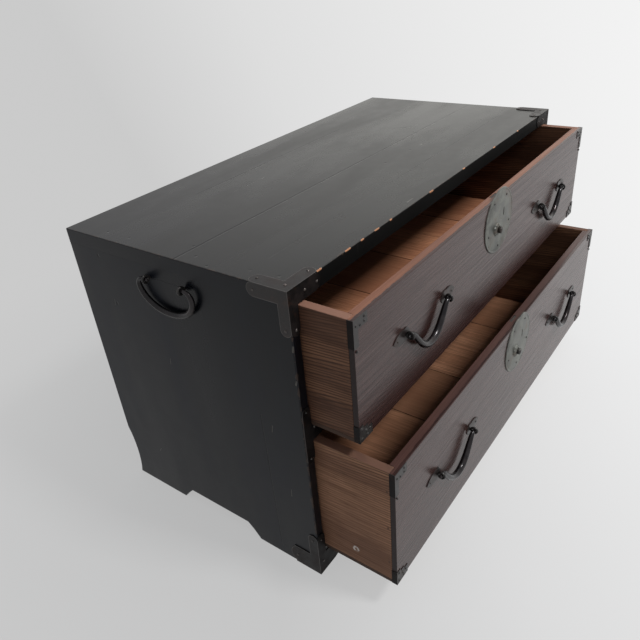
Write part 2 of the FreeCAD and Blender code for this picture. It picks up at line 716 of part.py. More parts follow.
def drawer_nails(face, low, top, centre, bail_z):
    """Nails of the lock plate, leaf plates and corner irons on one drawer front."""
    nails = [nail("y", -1, x, face, z, "lock_thick") for x, z in lock_nail_points(centre)]
    end = f"-{DRAWER_HALF}"
    left = [nail("y", -1, f"-{HALF_W} + bail_inset - eye_half - leaf_nail", face, bail_z),
            nail("y", -1, f"-{HALF_W} + bail_inset + eye_half + leaf_nail", face, bail_z)]
    stem = "drawer_iron_stem / 2"
    reach = "drawer_iron_across"
    arm = "drawer_iron_arm"
    for across, away in ((stem, f"{arm} * 0.6"), (f"{reach} * 0.45", f"{arm} * 0.78"),
                         (f"{reach} * 0.78", f"{arm} * 0.3"), (f"{reach} * 0.78", f"{arm} * 0.72"),
                         (stem, "drawer_iron_high - 5")):
        left.append(nail("y", -1, f"{end} + {across}", face, f"{top} - {away}", "drawer_iron_thick"))
    for across, away in ((stem, f"{arm} * 0.4"), (stem, "drawer_iron_foot - 5"),
                         (f"{reach} * 0.5", f"{arm} * 0.85"), (f"{reach} * 0.8", f"{arm} * 0.7"),
                         (f"{reach} * 0.6", f"{arm} * 0.3")):
        left.append(nail("y", -1, f"{end} + {across}", face, f"{low} + {away}", "drawer_iron_thick"))
    left_set = group(left)
    return group([group(nails), left_set, mirror(left_set)])


def drawer(prefix, pull, floor, ceiling, lock_drop, bail_depth, cut_top):
    """All the pieces of one drawer, with its lock and its two bails."""
    face = f"(-{HALF_D} - face_proud - {pull})"
    low = f"({floor} + edge_gap_low)"
    top = f"({ceiling} - edge_gap_top)"
    centre = f"({top} - {lock_drop})"
    bail_z = f"({top} - {bail_depth})"
    deck = f"({floor} + running_gap + floor_thick)"
    half = DRAWER_HALF

    board = box(f"-{half}", face, low, f"2 * {half}", "front_thick", f"{top} - {low}")
    ends = [box(x, f"{face} + front_lap", f"{low} - 1", "drawer_side_thick + 1", "front_thick",
                f"{top} - {low} + 2")
            for x in (f"-{half} - 1", f"{half} - drawer_side_thick")]
    foot = box(f"-{half} - 1", f"{face} + front_lap", f"{low} - 1", f"2 * {half} + 2", "front_thick",
               f"{deck} - {low} + 1")
    lock_space = [lock_recess(face, centre, "fit_gap"), bolt_slot(face, centre, top),
                  button_hole(face, centre), keyhole(face, centre)]
    node(f"{prefix}_drawer_front", cut(board, ends + [foot] + lock_space))

    side = node(f"{prefix}_drawer_left_side", box(f"-{half}", f"{face} + front_lap", deck,
                                                  "drawer_side_thick", f"{DRAWER_LENGTH} - front_lap",
                                                  f"{top} - {deck}"))
    node(f"{prefix}_drawer_right_side", mirror(side))
    node(f"{prefix}_drawer_back", box(f"-{half} + drawer_side_thick",
                                      f"{face} + {DRAWER_LENGTH} - drawer_back_thick", deck,
                                      f"2 * ({half} - drawer_side_thick)", "drawer_back_thick",
                                      f"{top} - {deck} - drawer_back_drop"))
    node(f"{prefix}_drawer_floor_boards", drawer_floor(face, floor))
    node(f"{prefix}_drawer_pegs", drawer_pegs(face, floor, top))
    node(f"{prefix}_drawer_corner_irons", corner_irons(face, low, top))

    node(f"{prefix}_lock_plate", lock_plate(face, centre, top, cut_top))
    node(f"{prefix}_lock_box", lock_box(face, centre, top))
    head = rod("y", "-button_across", f"{face} - lock_thick - button_stand", f"{centre} - button_below",
               "button_radius", "lock_thick + button_stand + 1")
    tail = rod("y", "-button_across", face, f"{centre} - button_below", "button_tail",
               "front_thick - lock_box_wall - button_travel - 1")
    node(f"{prefix}_lock_button", fuse([head, tail]))
    node(f"{prefix}_lock_bolt", box("-bolt_width / 2", f"{face} + bolt_inset", f"{centre} - bolt_foot",
                                    "bolt_width", "bolt_thick",
                                    f"{top} - {centre} + bolt_foot - bolt_below_edge"))

    left_leaves = group([leaf(face, sign, f"-{HALF_W} + bail_inset", bail_z) for sign in (-1, 1)])
    node(f"{prefix}_bail_plates", group([left_leaves, mirror(left_leaves)]))
    left_eyes = group([eye("x", face, f"-{HALF_W} + bail_inset + {sign} * eye_half", f"{face} - pivot_stand",
                           bail_z, "front_thick + 2 * stud_radius") for sign in (-1, 1)])
    node(f"{prefix}_bail_eyes", group([left_eyes, mirror(left_eyes)]))
    shape = bail_shape(size("eye_half"), size("bail_drop"), size("bail_clear"), size("bail_middle"),
                       (5, -3), -11.3, 29.8)
    bail(f"{prefix}_left_bail", shape, f"-{HALF_W} + bail_inset", f"{face} - pivot_stand", bail_z, 0)
    bail(f"{prefix}_right_bail", shape, f"{HALF_W} - bail_inset", f"{face} - pivot_stand", bail_z, 0)
    node(f"{prefix}_drawer_nails", drawer_nails(face, low, top, centre, bail_z))


drawer("top", "top_pull", HIGH_FLOOR, UNDER_TOP, "top_lock_drop", "top_bail_depth", False)
drawer("bottom", "bottom_pull", LOW_FLOOR, RAIL_UNDER, "bottom_lock_drop", "bottom_bail_depth", True)


# ---------------------------------------------------------------- build, test and write

doc.recompute()
for item in doc.Objects:
    if "Invalid" in item.State or "Error" in item.State:
        raise RuntimeError(f"{item.Label} failed to build")
for item in nodes:
    if item.Shape.isNull() or not item.Shape.isValid() or not item.Shape.Solids:
        raise RuntimeError(f"{item.Label} has no valid solid")
os.makedirs("parts", exist_ok=True)
for item in nodes:
    item.Shape.exportStep(f"parts/{item.Label}.step")
print(len(nodes), "nodes written")
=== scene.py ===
import bmesh
import bpy
import numpy as np
from mathutils import Matrix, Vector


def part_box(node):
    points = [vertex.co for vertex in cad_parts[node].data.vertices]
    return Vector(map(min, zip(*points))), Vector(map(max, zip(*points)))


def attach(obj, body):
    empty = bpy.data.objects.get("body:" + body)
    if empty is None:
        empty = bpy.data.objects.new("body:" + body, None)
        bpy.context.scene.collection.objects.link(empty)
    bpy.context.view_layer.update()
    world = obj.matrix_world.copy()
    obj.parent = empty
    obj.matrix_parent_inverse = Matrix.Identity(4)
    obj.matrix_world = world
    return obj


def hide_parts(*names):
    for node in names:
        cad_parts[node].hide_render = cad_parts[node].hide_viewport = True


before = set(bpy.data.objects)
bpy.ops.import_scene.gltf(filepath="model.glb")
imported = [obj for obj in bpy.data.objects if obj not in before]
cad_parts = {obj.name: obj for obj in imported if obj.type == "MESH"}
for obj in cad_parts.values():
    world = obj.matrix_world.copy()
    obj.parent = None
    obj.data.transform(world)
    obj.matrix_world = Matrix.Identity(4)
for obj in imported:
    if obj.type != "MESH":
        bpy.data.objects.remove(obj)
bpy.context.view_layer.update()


# ---------------------------------------------------------------- case boards
# The case is six thin boards of soft paulownia, pegged together and coated with black lacquer that
# has been rubbed down over the years: a top over two end boards, a floor, and two front rails.

def box_of(node):
    """Lowest and highest corner of a CAD node's box, as arrays."""
    low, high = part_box(node)
    return np.array(low), np.array(high)


def cuts_along(low, high, radius, step):
    """Grid cuts along one edge of a board: even angles round both corners, even steps between.

    One more cut stands 0.4 of the radius inside each corner, so that the flat face stays flat.
    """
    turn = np.tan(np.radians(np.array([45.0, 30.0, 15.0, 0.0])))
    inset = 1.4 * radius
    corner = np.append(low + radius * (1 - turn), low + inset)
    count = max(int(np.ceil((high - low - 2 * inset) / step)), 1)
    middle = np.linspace(corner[-1], low + high - corner[-1], count + 1)[1:-1]
    return np.concatenate([corner, middle, (low + high - corner)[::-1]])


def board_surface(low, high, radius, step, steps_at=((), (), ())):
    """Closed grid over a board with rounded edges.

    Six grids cover the board's box. Each point p goes to q + r (p - q) / |p - q|, where q is p kept
    inside the box shrunk by r. `steps_at` adds cuts along x, y and z. Returns points, the outward
    direction at each, and the quads.
    """
    low, high = np.asarray(low, float), np.asarray(high, float)
    cuts = [np.unique(np.append(cuts_along(low[axis], high[axis], radius, step), steps_at[axis]))
            for axis in range(3)]
    points, quads, count = [], [], 0
    for axis in range(3):
        across, along = (axis + 1) % 3, (axis + 2) % 3
        u, v = np.meshgrid(cuts[across], cuts[along], indexing="ij")
        index = np.arange(u.size).reshape(u.shape)
        for face in (0, 1):
            grid = np.empty(u.shape + (3,))
            grid[..., across], grid[..., along], grid[..., axis] = u, v, (low, high)[face][axis]
            quad = np.stack([index[:-1, :-1], index[1:, :-1], index[1:, 1:], index[:-1, 1:]], -1)
            quads.append(quad.reshape(-1, 4)[:, ::(1 if face else -1)] + count)
            points.append(grid.reshape(-1, 3))
            count += u.size
    points = np.concatenate(points)
    _, first, joined = np.unique(np.round(points * 1e7).astype(np.int64), axis=0,
                                 return_index=True, return_inverse=True)
    points = points[first]
    inside = np.clip(points, low + radius, high - radius)
    away = points - inside
    away /= np.linalg.norm(away, axis=1, keepdims=True)
    return inside + radius * away, away, joined.reshape(-1)[np.concatenate(quads)]


def hand_worked(points, away, seed, size, height):
    """Unevenness of a hand-planed board: eight seeded sine waves are planed off it, up to `height`."""
    draw = np.random.default_rng(seed)
    waves = 8
    total = np.zeros(len(points))
    for _ in range(waves):
        heading = draw.normal(size=3)
        heading *= 2 * np.pi / (size * draw.uniform(0.6, 1.8)) / np.linalg.norm(heading)
        total += np.sin(points @ heading + draw.uniform(0, 2 * np.pi))
    return points - away * ((total + waves) * height / (2 * waves))[:, None]


def block(low, high, radius, step):
    """A plain rounded board as points and quads, for a small piece or for a tool that cuts."""
    points, _, quads = board_surface(low, high, radius, step)
    return points, quads


def filled_mesh(name, points, quads):
    """Mesh from points and quads; a quad that names a corner twice in a row becomes a triangle."""
    keep = np.ones(quads.shape, bool)
    keep[:, 3] = quads[:, 3] != quads[:, 2]
    keep[:, 0] = quads[:, 0] != quads[:, 1]
    corners = keep.sum(axis=1)
    mesh = bpy.data.meshes.new(name)
    mesh.vertices.add(len(points))
    mesh.vertices.foreach_set("co", np.asarray(points, np.float32).ravel())
    mesh.loops.add(int(corners.sum()))
    mesh.loops.foreach_set("vertex_index", quads[keep].astype(np.int32))
    mesh.polygons.add(len(quads))
    mesh.polygons.foreach_set("loop_start", (np.cumsum(corners) - corners).astype(np.int32))
    mesh.update(calc_edges=True)
    mesh.validate()
    return mesh


CRISP = np.radians(40)


def new_piece(name, points, quads, finish, body, nodes):
    """Put points and quads in a mesh, give it its finish, and let it stand for its CAD nodes.

    The surface is shaded smooth, apart from edges that turn by more than 40 degrees.
    """
    mesh = filled_mesh(name, points, quads)
    mesh.polygons.foreach_set("use_smooth", np.full(len(quads), True))
    mesh.set_sharp_from_angle(angle=CRISP)
    mesh.materials.append(finish)
    piece = bpy.data.objects.new(name, mesh)
    bpy.context.scene.collection.objects.link(piece)
    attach(piece, body)
    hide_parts(*nodes)
    return piece


class Finish:
    """A material built node by node; `add` returns a new node with its sockets and settings filled."""

    def __init__(self, name, **sockets):
        self.material = bpy.data.materials.new(name)
        self.material.use_nodes = True
        self.tree = self.material.node_tree
        self.shader = self.tree.nodes["Principled BSDF"]
        self.fill(self.shader, sockets)

    def fill(self, node, sockets):
        """Set or link each named or numbered input of a node."""
        for key, value in sockets.items():
            socket = node.inputs[int(key[1:])] if key[0] == "_" else node.inputs[key.replace("_", " ")]
            if isinstance(value, bpy.types.NodeSocket):
                self.tree.links.new(value, socket)
            else:
                socket.default_value = value

    def add(self, kind, settings=None, **sockets):
        """One new node of a kind, with its settings and sockets."""
        node = self.tree.nodes.new(kind)
        for key, value in (settings or {}).items():
            setattr(node, key, value)
        self.fill(node, sockets)
        return node

    def place(self, scale=(1, 1, 1), move=(0, 0, 0)):
        """Object coordinates, stretched and moved."""
        where = self.add("ShaderNodeTexCoord").outputs["Object"]
        return self.add("ShaderNodeMapping", Vector=where, Scale=scale, Location=move).outputs[0]

    def axes(self):
        """The three object coordinates, each by itself."""
        return self.add("ShaderNodeSeparateXYZ", Vector=self.place()).outputs

    def noise(self, where, scale, detail=4.0, roughness=0.55, distortion=0.0):
        """Cloudy noise from 0 to 1, mostly between 0.3 and 0.7."""
        return self.add("ShaderNodeTexNoise", Vector=where, Scale=scale, Detail=detail,
                        Roughness=roughness, Distortion=distortion).outputs["Fac"]

    def sums(self, operation, a, b=0.0, clamp=False):
        """One arithmetic step."""
        return self.add("ShaderNodeMath", {"operation": operation, "use_clamp": clamp},
                        _0=a, _1=b).outputs[0]

    def times(self, a, b):
        """Product of two numbers."""
        return self.sums("MULTIPLY", a, b)

    def plus(self, a, b):
        """Sum of two numbers."""
        return self.sums("ADD", a, b)

    def minus(self, a, b):
        """Difference of two numbers."""
        return self.sums("SUBTRACT", a, b)

    def vector(self, operation, a, output=0, **sockets):
        """One step of vector arithmetic."""
        return self.add("ShaderNodeVectorMath", {"operation": operation}, _0=a, **sockets).outputs[output]

    def span(self, value, low, high, to_low=0.0, to_high=1.0):
        """Read a value between two limits, smoothly, as another range."""
        return self.add("ShaderNodeMapRange", {"interpolation_type": "SMOOTHSTEP"}, Value=value,
                        From_Min=low, From_Max=high, To_Min=to_low, To_Max=to_high).outputs[0]

    def blend(self, share, low, high):
        """Mix two colours."""
        node = self.add("ShaderNodeMix", {"data_type": "RGBA"})
        for socket, value in ((node.inputs[0], share), (node.inputs[6], low), (node.inputs[7], high)):
            if isinstance(value, bpy.types.NodeSocket):
                self.tree.links.new(value, socket)
            else:
                socket.default_value = value if isinstance(value, float) else (*value, 1.0)
        return node.outputs[2]

    def near(self, where, start, end, width):
        """Share of a mark that follows a straight line: 1 within about half its width, 0 beyond it.

        The point's place along the line is kept between the ends, and its distance from that foot
        is compared with the width.
        """
        run = np.subtract(end, start)
        away = self.vector("SUBTRACT", where, _1=tuple(start))
        share = self.vector("DOT_PRODUCT", away, "Value", _1=tuple(run / (run @ run)))
        share = self.sums("ADD", share, clamp=True)
        foot = self.vector("SCALE", tuple(run), Scale=share)
        gap = self.vector("DISTANCE", away, "Value", _1=foot)
        return self.span(gap, width * 0.4, width, 1.0, 0.0)

    def bump(self, height, depth, under=None):
        """Relief of a height between 0 and 1, `depth` metres deep, over another relief if one is given."""
        sockets = {"Height": height, "Distance": depth, "Strength": 1.0}
        if under:
            sockets["Normal"] = under
        return self.add("ShaderNodeBump", **sockets).outputs[0]

    def done(self, **sockets):
        """Fill the shader's last sockets; the material is then ready."""
        self.fill(self.shader, sockets)
        return self.material


def shade(color, factor):
    """A colour made darker or lighter by a factor."""
    return tuple(channel * factor for channel in color)


def stretched(axis, along, across=1.0):
    """Scale of a pattern that is drawn out along the grain."""
    scale = [across, across, across]
    scale[axis] = along
    return scale


def lacquer(name, low, high, grain_axis, tint, sheen, marks=(), gloss=0.43):
    """Old black lacquer: grain showing faintly through, rubbed patches, fine scratches, worn edges.

    Each mark is a line on the board: its start, its end, its width, and its colour. It is pressed
    0.4 mm into the surface, and noise bends it by up to 0.8 mm either way.
    """
    coat = Finish(name, Specular_IOR_Level=gloss)
    plain = coat.place()
    cloud = coat.noise(coat.place(scale=stretched(grain_axis, 0.22)), 9, 4, 0.55, 0.4)
    fine = coat.noise(plain, 42, 3, 0.6)
    grain = coat.noise(coat.place(scale=stretched(grain_axis, 0.5, 9.0)), 11, 3, 0.6, 0.1)
    scratches = coat.noise(coat.place(scale=(55, 3, 3), move=(0.3, 0.1, 0)), 5, 2, 0.5, 0.2)
    scratches = coat.span(scratches, 0.74, 0.78)
    bare_edge, scratched = (0.05, 0.032, 0.023), (0.07, 0.065, 0.06)
    color = coat.blend(coat.span(cloud, 0.46, 0.68), tint, shade(tint, 2.2))
    color = coat.blend(coat.times(grain, 0.35), color, shade(tint, 0.45))
    color = coat.blend(coat.times(scratches, 0.12), color, scratched)
    color = coat.blend(edge_wear(coat, plain, low, high), color, bare_edge)
    rough = coat.plus(coat.times(cloud, 0.85), coat.times(fine, 0.15))
    rough = coat.span(rough, 0.3, 0.7, sheen, sheen + 0.16)
    height = coat.plus(coat.times(grain, 0.8), coat.times(fine, 0.05))
    dent = coat.times(scratches, 0.06)
    bend = 0.0008
    waver = coat.add("ShaderNodeTexNoise", Vector=plain, Scale=30.0, Detail=2.0).outputs["Color"]
    waver = coat.vector("SUBTRACT", coat.vector("SCALE", waver, Scale=2 * bend), _1=(bend, bend, bend))
    spot = coat.vector("ADD", plain, _1=waver)
    for start, end, width, paint in marks:
        share = coat.near(spot, start, end, width)
        color = coat.blend(share, color, paint)
        dent = coat.minus(dent, share)
    return coat.done(Base_Color=color, Roughness=rough,
                     Normal=coat.bump(dent, 0.0004, coat.bump(height, 0.00005)))


def edge_wear(coat, plain, low, high):
    """Share of bare wood where lacquer has rubbed off the arrises, broken up by noise.

    The distance from a point to each pair of faces is summed for the two nearest pairs, so it is
    small only close to an edge of the board.
    """
    split = coat.axes()
    gaps = []
    for axis in range(3):
        middle, half = (low[axis] + high[axis]) / 2, (high[axis] - low[axis]) / 2
        gaps.append(coat.minus(half, coat.sums("ABSOLUTE", coat.minus(split[axis], middle))))
    least = coat.sums("MINIMUM", coat.sums("MINIMUM", gaps[0], gaps[1]), gaps[2])
    most = coat.sums("MAXIMUM", coat.sums("MAXIMUM", gaps[0], gaps[1]), gaps[2])
    total = coat.plus(coat.plus(gaps[0], gaps[1]), gaps[2])
    near = coat.minus(coat.minus(total, most), least)
    reach = coat.span(coat.noise(plain, 60, 4, 0.7), 0.42, 0.75, 0.0002, 0.0042)
    return coat.times(coat.sums("LESS_THAN", near, reach), 0.65)


BLACK = (0.0060, 0.0058, 0.0060)


def lacquered_board(node, radius, step, grain_axis, seed, sheen=0.33, tint=BLACK, marks=(), under=0.0):
    """One board of the case, in place of its CAD node.

    Where `under` is set, the grid reaches that far below the board and is cut off level with its
    lower face, so that the lower edge is crisp and closes on the end boards.
    """
    low, high = box_of(node)
    deep = low - (0, 0, under)
    points, away, quads = board_surface(deep, high, radius, step)
    points = hand_worked(points, away, seed, 0.35, 0.00025)
    points[:, 2] = np.maximum(points[:, 2], low[2])
    coat = lacquer(f"{node}_lacquer", deep, high, grain_axis, tint, sheen, marks)
    return new_piece(f"{node}_piece", points, quads, coat, "case", [node])


case_low, case_high = box_of("top_board")
left, front, top = case_low[0], case_low[1], case_high[2]


def on_top(x, y):
    """Point on the top, from the left edge and the front edge."""
    return left + x, front + y, top


def on_left(y, z):
    """Point on the left end board, from the front edge and the floor."""
    return left, front + y, z


SEAM, RUBBED, CHIP = (0.003, 0.003, 0.003), (0.075, 0.07, 0.062), (0.42, 0.19, 0.095)
# Three glued seams, two cracks, and places where something has rubbed or dented the top. The chips
# along its front edge show bare wood.
top_marks = [
    (on_top(0.190, 0.339), on_top(0.600, 0.336), 0.0016, SEAM),
    (on_top(0.0, 0.189), on_top(0.870, 0.171), 0.0022, SEAM),
    (on_top(0.06, 0.077), on_top(0.80, 0.075), 0.0010, SEAM),
    (on_top(0.300, 0.012), on_top(0.316, 0.0115), 0.0016, RUBBED),
    (on_top(0.641, 0.230), on_top(0.662, 0.203), 0.0022, SEAM),
    (on_top(0.590, 0.165), on_top(0.690, 0.206), 0.0011, SEAM),
    (on_top(0.560, 0.128), on_top(0.571, 0.131), 0.0016, RUBBED),
    (on_top(0.225, 0.290), on_top(0.300, 0.288), 0.0004, RUBBED),
    (on_top(0.430, 0.060), on_top(0.520, 0.085), 0.0004, RUBBED),
]
dark_dents = ((0.020, 0.301), (0.041, 0.194), (0.020, 0.168), (0.023, 0.076), (0.006, 0.134),
              (0.027, 0.033), (0.020, 0.349), (0.525, 0.131), (0.444, 0.135), (0.576, 0.175))
top_marks += [(on_top(x, y), on_top(x + 0.0012, y), 0.0024, SEAM) for x, y in dark_dents]
chipped = ((0.060, 0.007), (0.121, 0.010), (0.158, 0.005), (0.192, 0.009), (0.232, 0.003),
           (0.349, 0.010), (0.466, 0.005), (0.590, 0.006), (0.702, 0.004))
chips = [(on_top(x, 0.0), on_top(x + length, 0.0), 0.0022, CHIP) for x, length in chipped]
top_marks += chips

# The end faces' lacquer is black with a blue cast; the blue cast is a painted reflection of the pale floor
# and sky.
END_TINT_PAINTED_BLUE_SHEEN, END_SHEEN, END_GLOSS = (0.0024, 0.0030, 0.0052), 0.26, 0.21
BELOW_TOP = 0.003


def top_board():
    """The top, with its own lacquer on the two end faces and a duller one on the front face."""
    piece = lacquered_board("top_board", 0.0014, 0.02, 0, 11, sheen=0.20, tint=(0.0048, 0.0046, 0.0040),
                            marks=top_marks, under=BELOW_TOP)
    low = case_low - BELOW_TOP
    ends = lacquer("top_ends_lacquer", low, case_high, 1, END_TINT_PAINTED_BLUE_SHEEN, END_SHEEN, gloss=END_GLOSS)
    dull = lacquer("top_front_lacquer", low, case_high, 0, (0.002, 0.002, 0.002), 0.5, chips, gloss=0.12)
    piece.data.materials.append(ends)
    piece.data.materials.append(dull)
    middles = np.empty(len(piece.data.polygons) * 3)
    piece.data.polygons.foreach_get("center", middles)
    near = 0.0005
    on_front = np.where(middles[1::3] < front + near, 2, 0)
    kind = np.where(np.abs(middles[::3]) > case_high[0] - near, 1, on_front)
    piece.data.polygons.foreach_set("material_index", kind.astype(np.int32))


top_board()
lacquered_board("bottom_rail", 0.002, 0.03, 0, 12)
lacquered_board("middle_rail", 0.0015, 0.03, 0, 13)


# The two end boards have a cut-out below that leaves a foot at the front and the back. Its ends
# slope and are rounded, and the lower back edge of the left board is worn away.

def foot_curve(y):
    """Height of the board's lower edge: zero at the feet, the cut-out's height between them.

    With s running from 0 to 1 over each slope, the edge rises as (1 - cos(pi s^0.85)) / 2.
    """
    gap_half, gap_slope = 0.0905, 0.026
    rise = box_of("bottom_board")[0][2]
    share = np.clip((gap_half - np.abs(y)) / gap_slope, 0, 1)
    return rise * (0.5 - 0.5 * np.cos(np.pi * share ** 0.85))


def step_share(value, limit, edge):
    """Share of a point that lies below a limit: 1 below it, 0 above it, with a slope 2 `edge` wide."""
    return np.clip((limit - value) / (2 * edge) + 0.5, 0, 1)


def end_board(node, seed, marks=()):
    """End board: its rounded grid is cut off level under the top and squeezed upwards over the foot curve.

    Where the back boards lap it, y is squeezed to front + (y - front)(1 - lap / depth), which leaves
    their rabbet. The squeeze over the foot curve fades out 160 mm above the floor.
    """
    low, high = box_of(node)
    back_low, back_high = box_of("back_boards")
    tall = high + (0, 0, 0.004)
    edge, play = 0.0002, 0.0003
    lap_side = back_high[0] * np.sign(high[0])
    steps_at = ([lap_side - edge, lap_side + edge], [], [back_low[2] - edge, back_low[2] + edge])
    points, away, quads = board_surface(low, tall, 0.002, 0.012, steps_at)
    rabbet = step_share(np.abs(points[:, 0]), back_high[0], edge)
    rabbet *= step_share(-points[:, 2], -back_low[2], edge)
    rabbet *= (points[:, 1] - low[1]) / (high[1] - low[1]) * (back_high[1] - back_low[1] + play)
    points = hand_worked(points, away, seed, 0.3, 0.0003)
    points[:, 1] -= rabbet
    points[:, 2] = np.minimum(points[:, 2], high[2])
    rise, squeezed = foot_curve(points[:, 1]), 0.16
    share = np.clip(1 - (points[:, 2] - low[2]) / squeezed, 0, 1)
    points[:, 2] += rise * share ** 1.2
    if node == "left_side":
        points[:, 1] -= worn_corner(points, high)
    coat = lacquer(f"{node}_lacquer", low, tall, 2, END_TINT_PAINTED_BLUE_SHEEN, END_SHEEN, marks, END_GLOSS)
    new_piece(f"{node}_piece", points, quads, coat, "case", [node])


def worn_corner(points, high):
    """How far the lower back edge is worn in: up to 9 mm, fading over height and away from the edge."""
    depth, middle, width = 0.009, 0.055, 0.03
    height = np.clip(1 - np.abs(points[:, 2] - middle) / middle, 0, 1)
    edge = np.clip(1 - (high[1] - points[:, 1]) / width, 0, 1)
    return depth * np.sin(np.pi / 2 * height) ** 0.7 * edge


left_marks = [
    (on_left(0.075, 0.288), on_left(0.074, 0.015), 0.0008, SEAM),
    (on_left(0.056, 0.276), on_left(0.058, 0.264), 0.0008, RUBBED),
    (on_left(0.038, 0.163), on_left(0.039, 0.149), 0.0008, RUBBED),
    (on_left(0.248, 0.322), on_left(0.250, 0.311), 0.0006, RUBBED),
    (on_left(0.350, 0.397), on_left(0.352, 0.386), 0.0006, RUBBED),
    (on_left(0.338, 0.098), on_left(0.344, 0.090), 0.0007, RUBBED),
    (on_left(0.176, 0.460), on_left(0.249, 0.460), 0.0004, SEAM),
    (on_left(0.002, 0.372), on_left(0.004, 0.366), 0.0016, RUBBED),
    (on_left(0.001, 0.424), on_left(0.002, 0.417), 0.0020, RUBBED),
    (on_left(0.359, 0.470), on_left(0.359, 0.468), 0.0022, SEAM),
    (on_left(0.345, 0.393), on_left(0.345, 0.391), 0.0026, SEAM),
]
end_board("left_side", 21, left_marks)
end_board("right_side", 22)


# ---------------------------------------------------------------- bare case boards
# Inside and behind, the case is bare wood gone brown: floor, runners, stops and three back boards.

def bare_wood(name, grain_axis, light, dark, figure=60, rough=0.62, seed=0.0, streak=0.5, toned=0.0,
              rim=None, ridges=None, scuff=None):
    """Unfinished wood: long streaks and pores along the grain, broad bands of darker growth.

    `toned` is how far each board's own tone darkens it. `rim` is an axis, a distance from the
    middle, and the colour of the wood beyond it: wood worn by handling on the drawer sides' upper
    edges, and painted shade along the ends of the drawer floors. `ridges` is the axis across
    which hard growth lines repeat every 4.5 mm, and `scuff` is the middle of a small pale ring.
    """
    coat = Finish(name, Specular_IOR_Level=0.28)
    shift = (seed * 3.1, seed * 1.7, seed * 2.3)
    along = coat.place(scale=stretched(grain_axis, 0.035), move=shift)
    bands = coat.noise(along, figure * 0.28, 2, 0.5, 0.6)
    lines = coat.noise(along, figure * 3.4, 5, 0.68, 0.2)
    pores = coat.noise(coat.place(scale=stretched(grain_axis, 0.09), move=shift), figure * 9, 2, 0.5)
    broad = coat.noise(coat.place(move=shift), 4.2, 4, 0.6)
    color = coat.blend(coat.span(bands, 0.32, 0.68), light, dark)
    color = coat.blend(coat.times(coat.span(lines, 0.40, 0.66), streak), color, shade(dark, 0.42))
    color = coat.blend(coat.times(coat.span(pores, 0.60, 0.72), 0.5), color, shade(dark, 0.35))
    color = coat.blend(coat.times(coat.span(broad, 0.42, 0.70), 0.5), color, shade(dark, 0.6))
    if ridges is not None:
        line = coat.times(growth_ridges(coat, ridges, grain_axis, bands),
                          coat.span(broad, 0.62, 0.40, 0.35, 0.95))
        color = coat.blend(line, color, shade(dark, 0.45))
    if scuff is not None:
        color = coat.blend(scuffed_ring(coat, scuff, pores), color, (0.60, 0.56, 0.52))
    if toned:
        tone = coat.add("ShaderNodeAttribute", {"attribute_name": "tone"}).outputs["Fac"]
        color = coat.blend(coat.times(tone, toned), color, shade(dark, 0.5))
        seam = coat.add("ShaderNodeAttribute", {"attribute_name": "seam"}).outputs["Fac"]
        color = coat.blend(coat.span(seam, 0.1, 0.9, 0.0, 0.9), color, shade(dark, 0.08))
    # The rim colour is wood worn by handling on the drawer sides, and painted shade along the ends of the
    # drawer floors.
    if rim:
        axis, distance, rim_colour = rim
        out = coat.sums("ABSOLUTE", coat.axes()[axis])
        out = coat.span(out, distance - 0.0008, distance + 0.0004, 0.0, 0.85)
        color = coat.blend(out, color, rim_colour)
    height = coat.plus(coat.times(lines, 0.7), coat.times(pores, 0.3))
    return coat.done(Base_Color=color, Roughness=coat.span(lines, 0.3, 0.7, rough, rough + 0.16),
                     Normal=coat.bump(height, 0.0004))


def growth_ridges(coat, across, grain_axis, bands):
    """Fine growth lines: sin(2 pi r / 4.5 mm), where r runs across the board.

    They lean by 9 per cent along the grain, and the broad bands bend them by up to 22 mm.
    """
    split = coat.axes()
    lean, bend, pitch = 0.09, 0.022, 0.0045
    run = coat.plus(split[across], coat.times(split[grain_axis], lean))
    run = coat.plus(run, coat.times(bands, bend))
    return coat.span(coat.sums("SINE", coat.times(run, 2 * np.pi / pitch)), -0.1, 0.95)


def scuffed_ring(coat, middle, pores):
    """Share of a small scuffed ring: a radius near 5 mm, and noise breaks the ring into pieces."""
    radius, ragged = 0.0050, 0.002
    away = coat.vector("DISTANCE", coat.place(), "Value", _1=middle)
    away = coat.plus(away, coat.times(pores, ragged))
    off_line = coat.sums("ABSOLUTE", coat.minus(away, radius))
    broken = coat.span(coat.noise(coat.place(), 150), 0.42, 0.56, 0.15, 0.8)
    return coat.times(coat.span(off_line, 0.0008, 0.0022, 1.0, 0.0), broken)


def wooden_board(node, finish, body, radius=0.0008, step=0.03, seed=5):
    """A plain board in its finish, in place of its CAD node."""
    points, away, quads = board_surface(*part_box(node), radius, step)
    points = hand_worked(points, away, seed, 0.25, 0.0002)
    new_piece(f"{node}_piece", points, quads, finish, body, [node])


aged = {"light": (0.15, 0.095, 0.06), "dark": (0.085, 0.05, 0.03)}
for node, wood, grain_axis, seed in (("bottom_board", "case_floor_wood", 0, 0.4),
                                     ("left_runner", "left_runner_wood", 1, 0.9),
                                     ("right_runner", "right_runner_wood", 1, 1.3)):
    wooden_board(node, bare_wood(wood, grain_axis, seed=seed, **aged), "case")


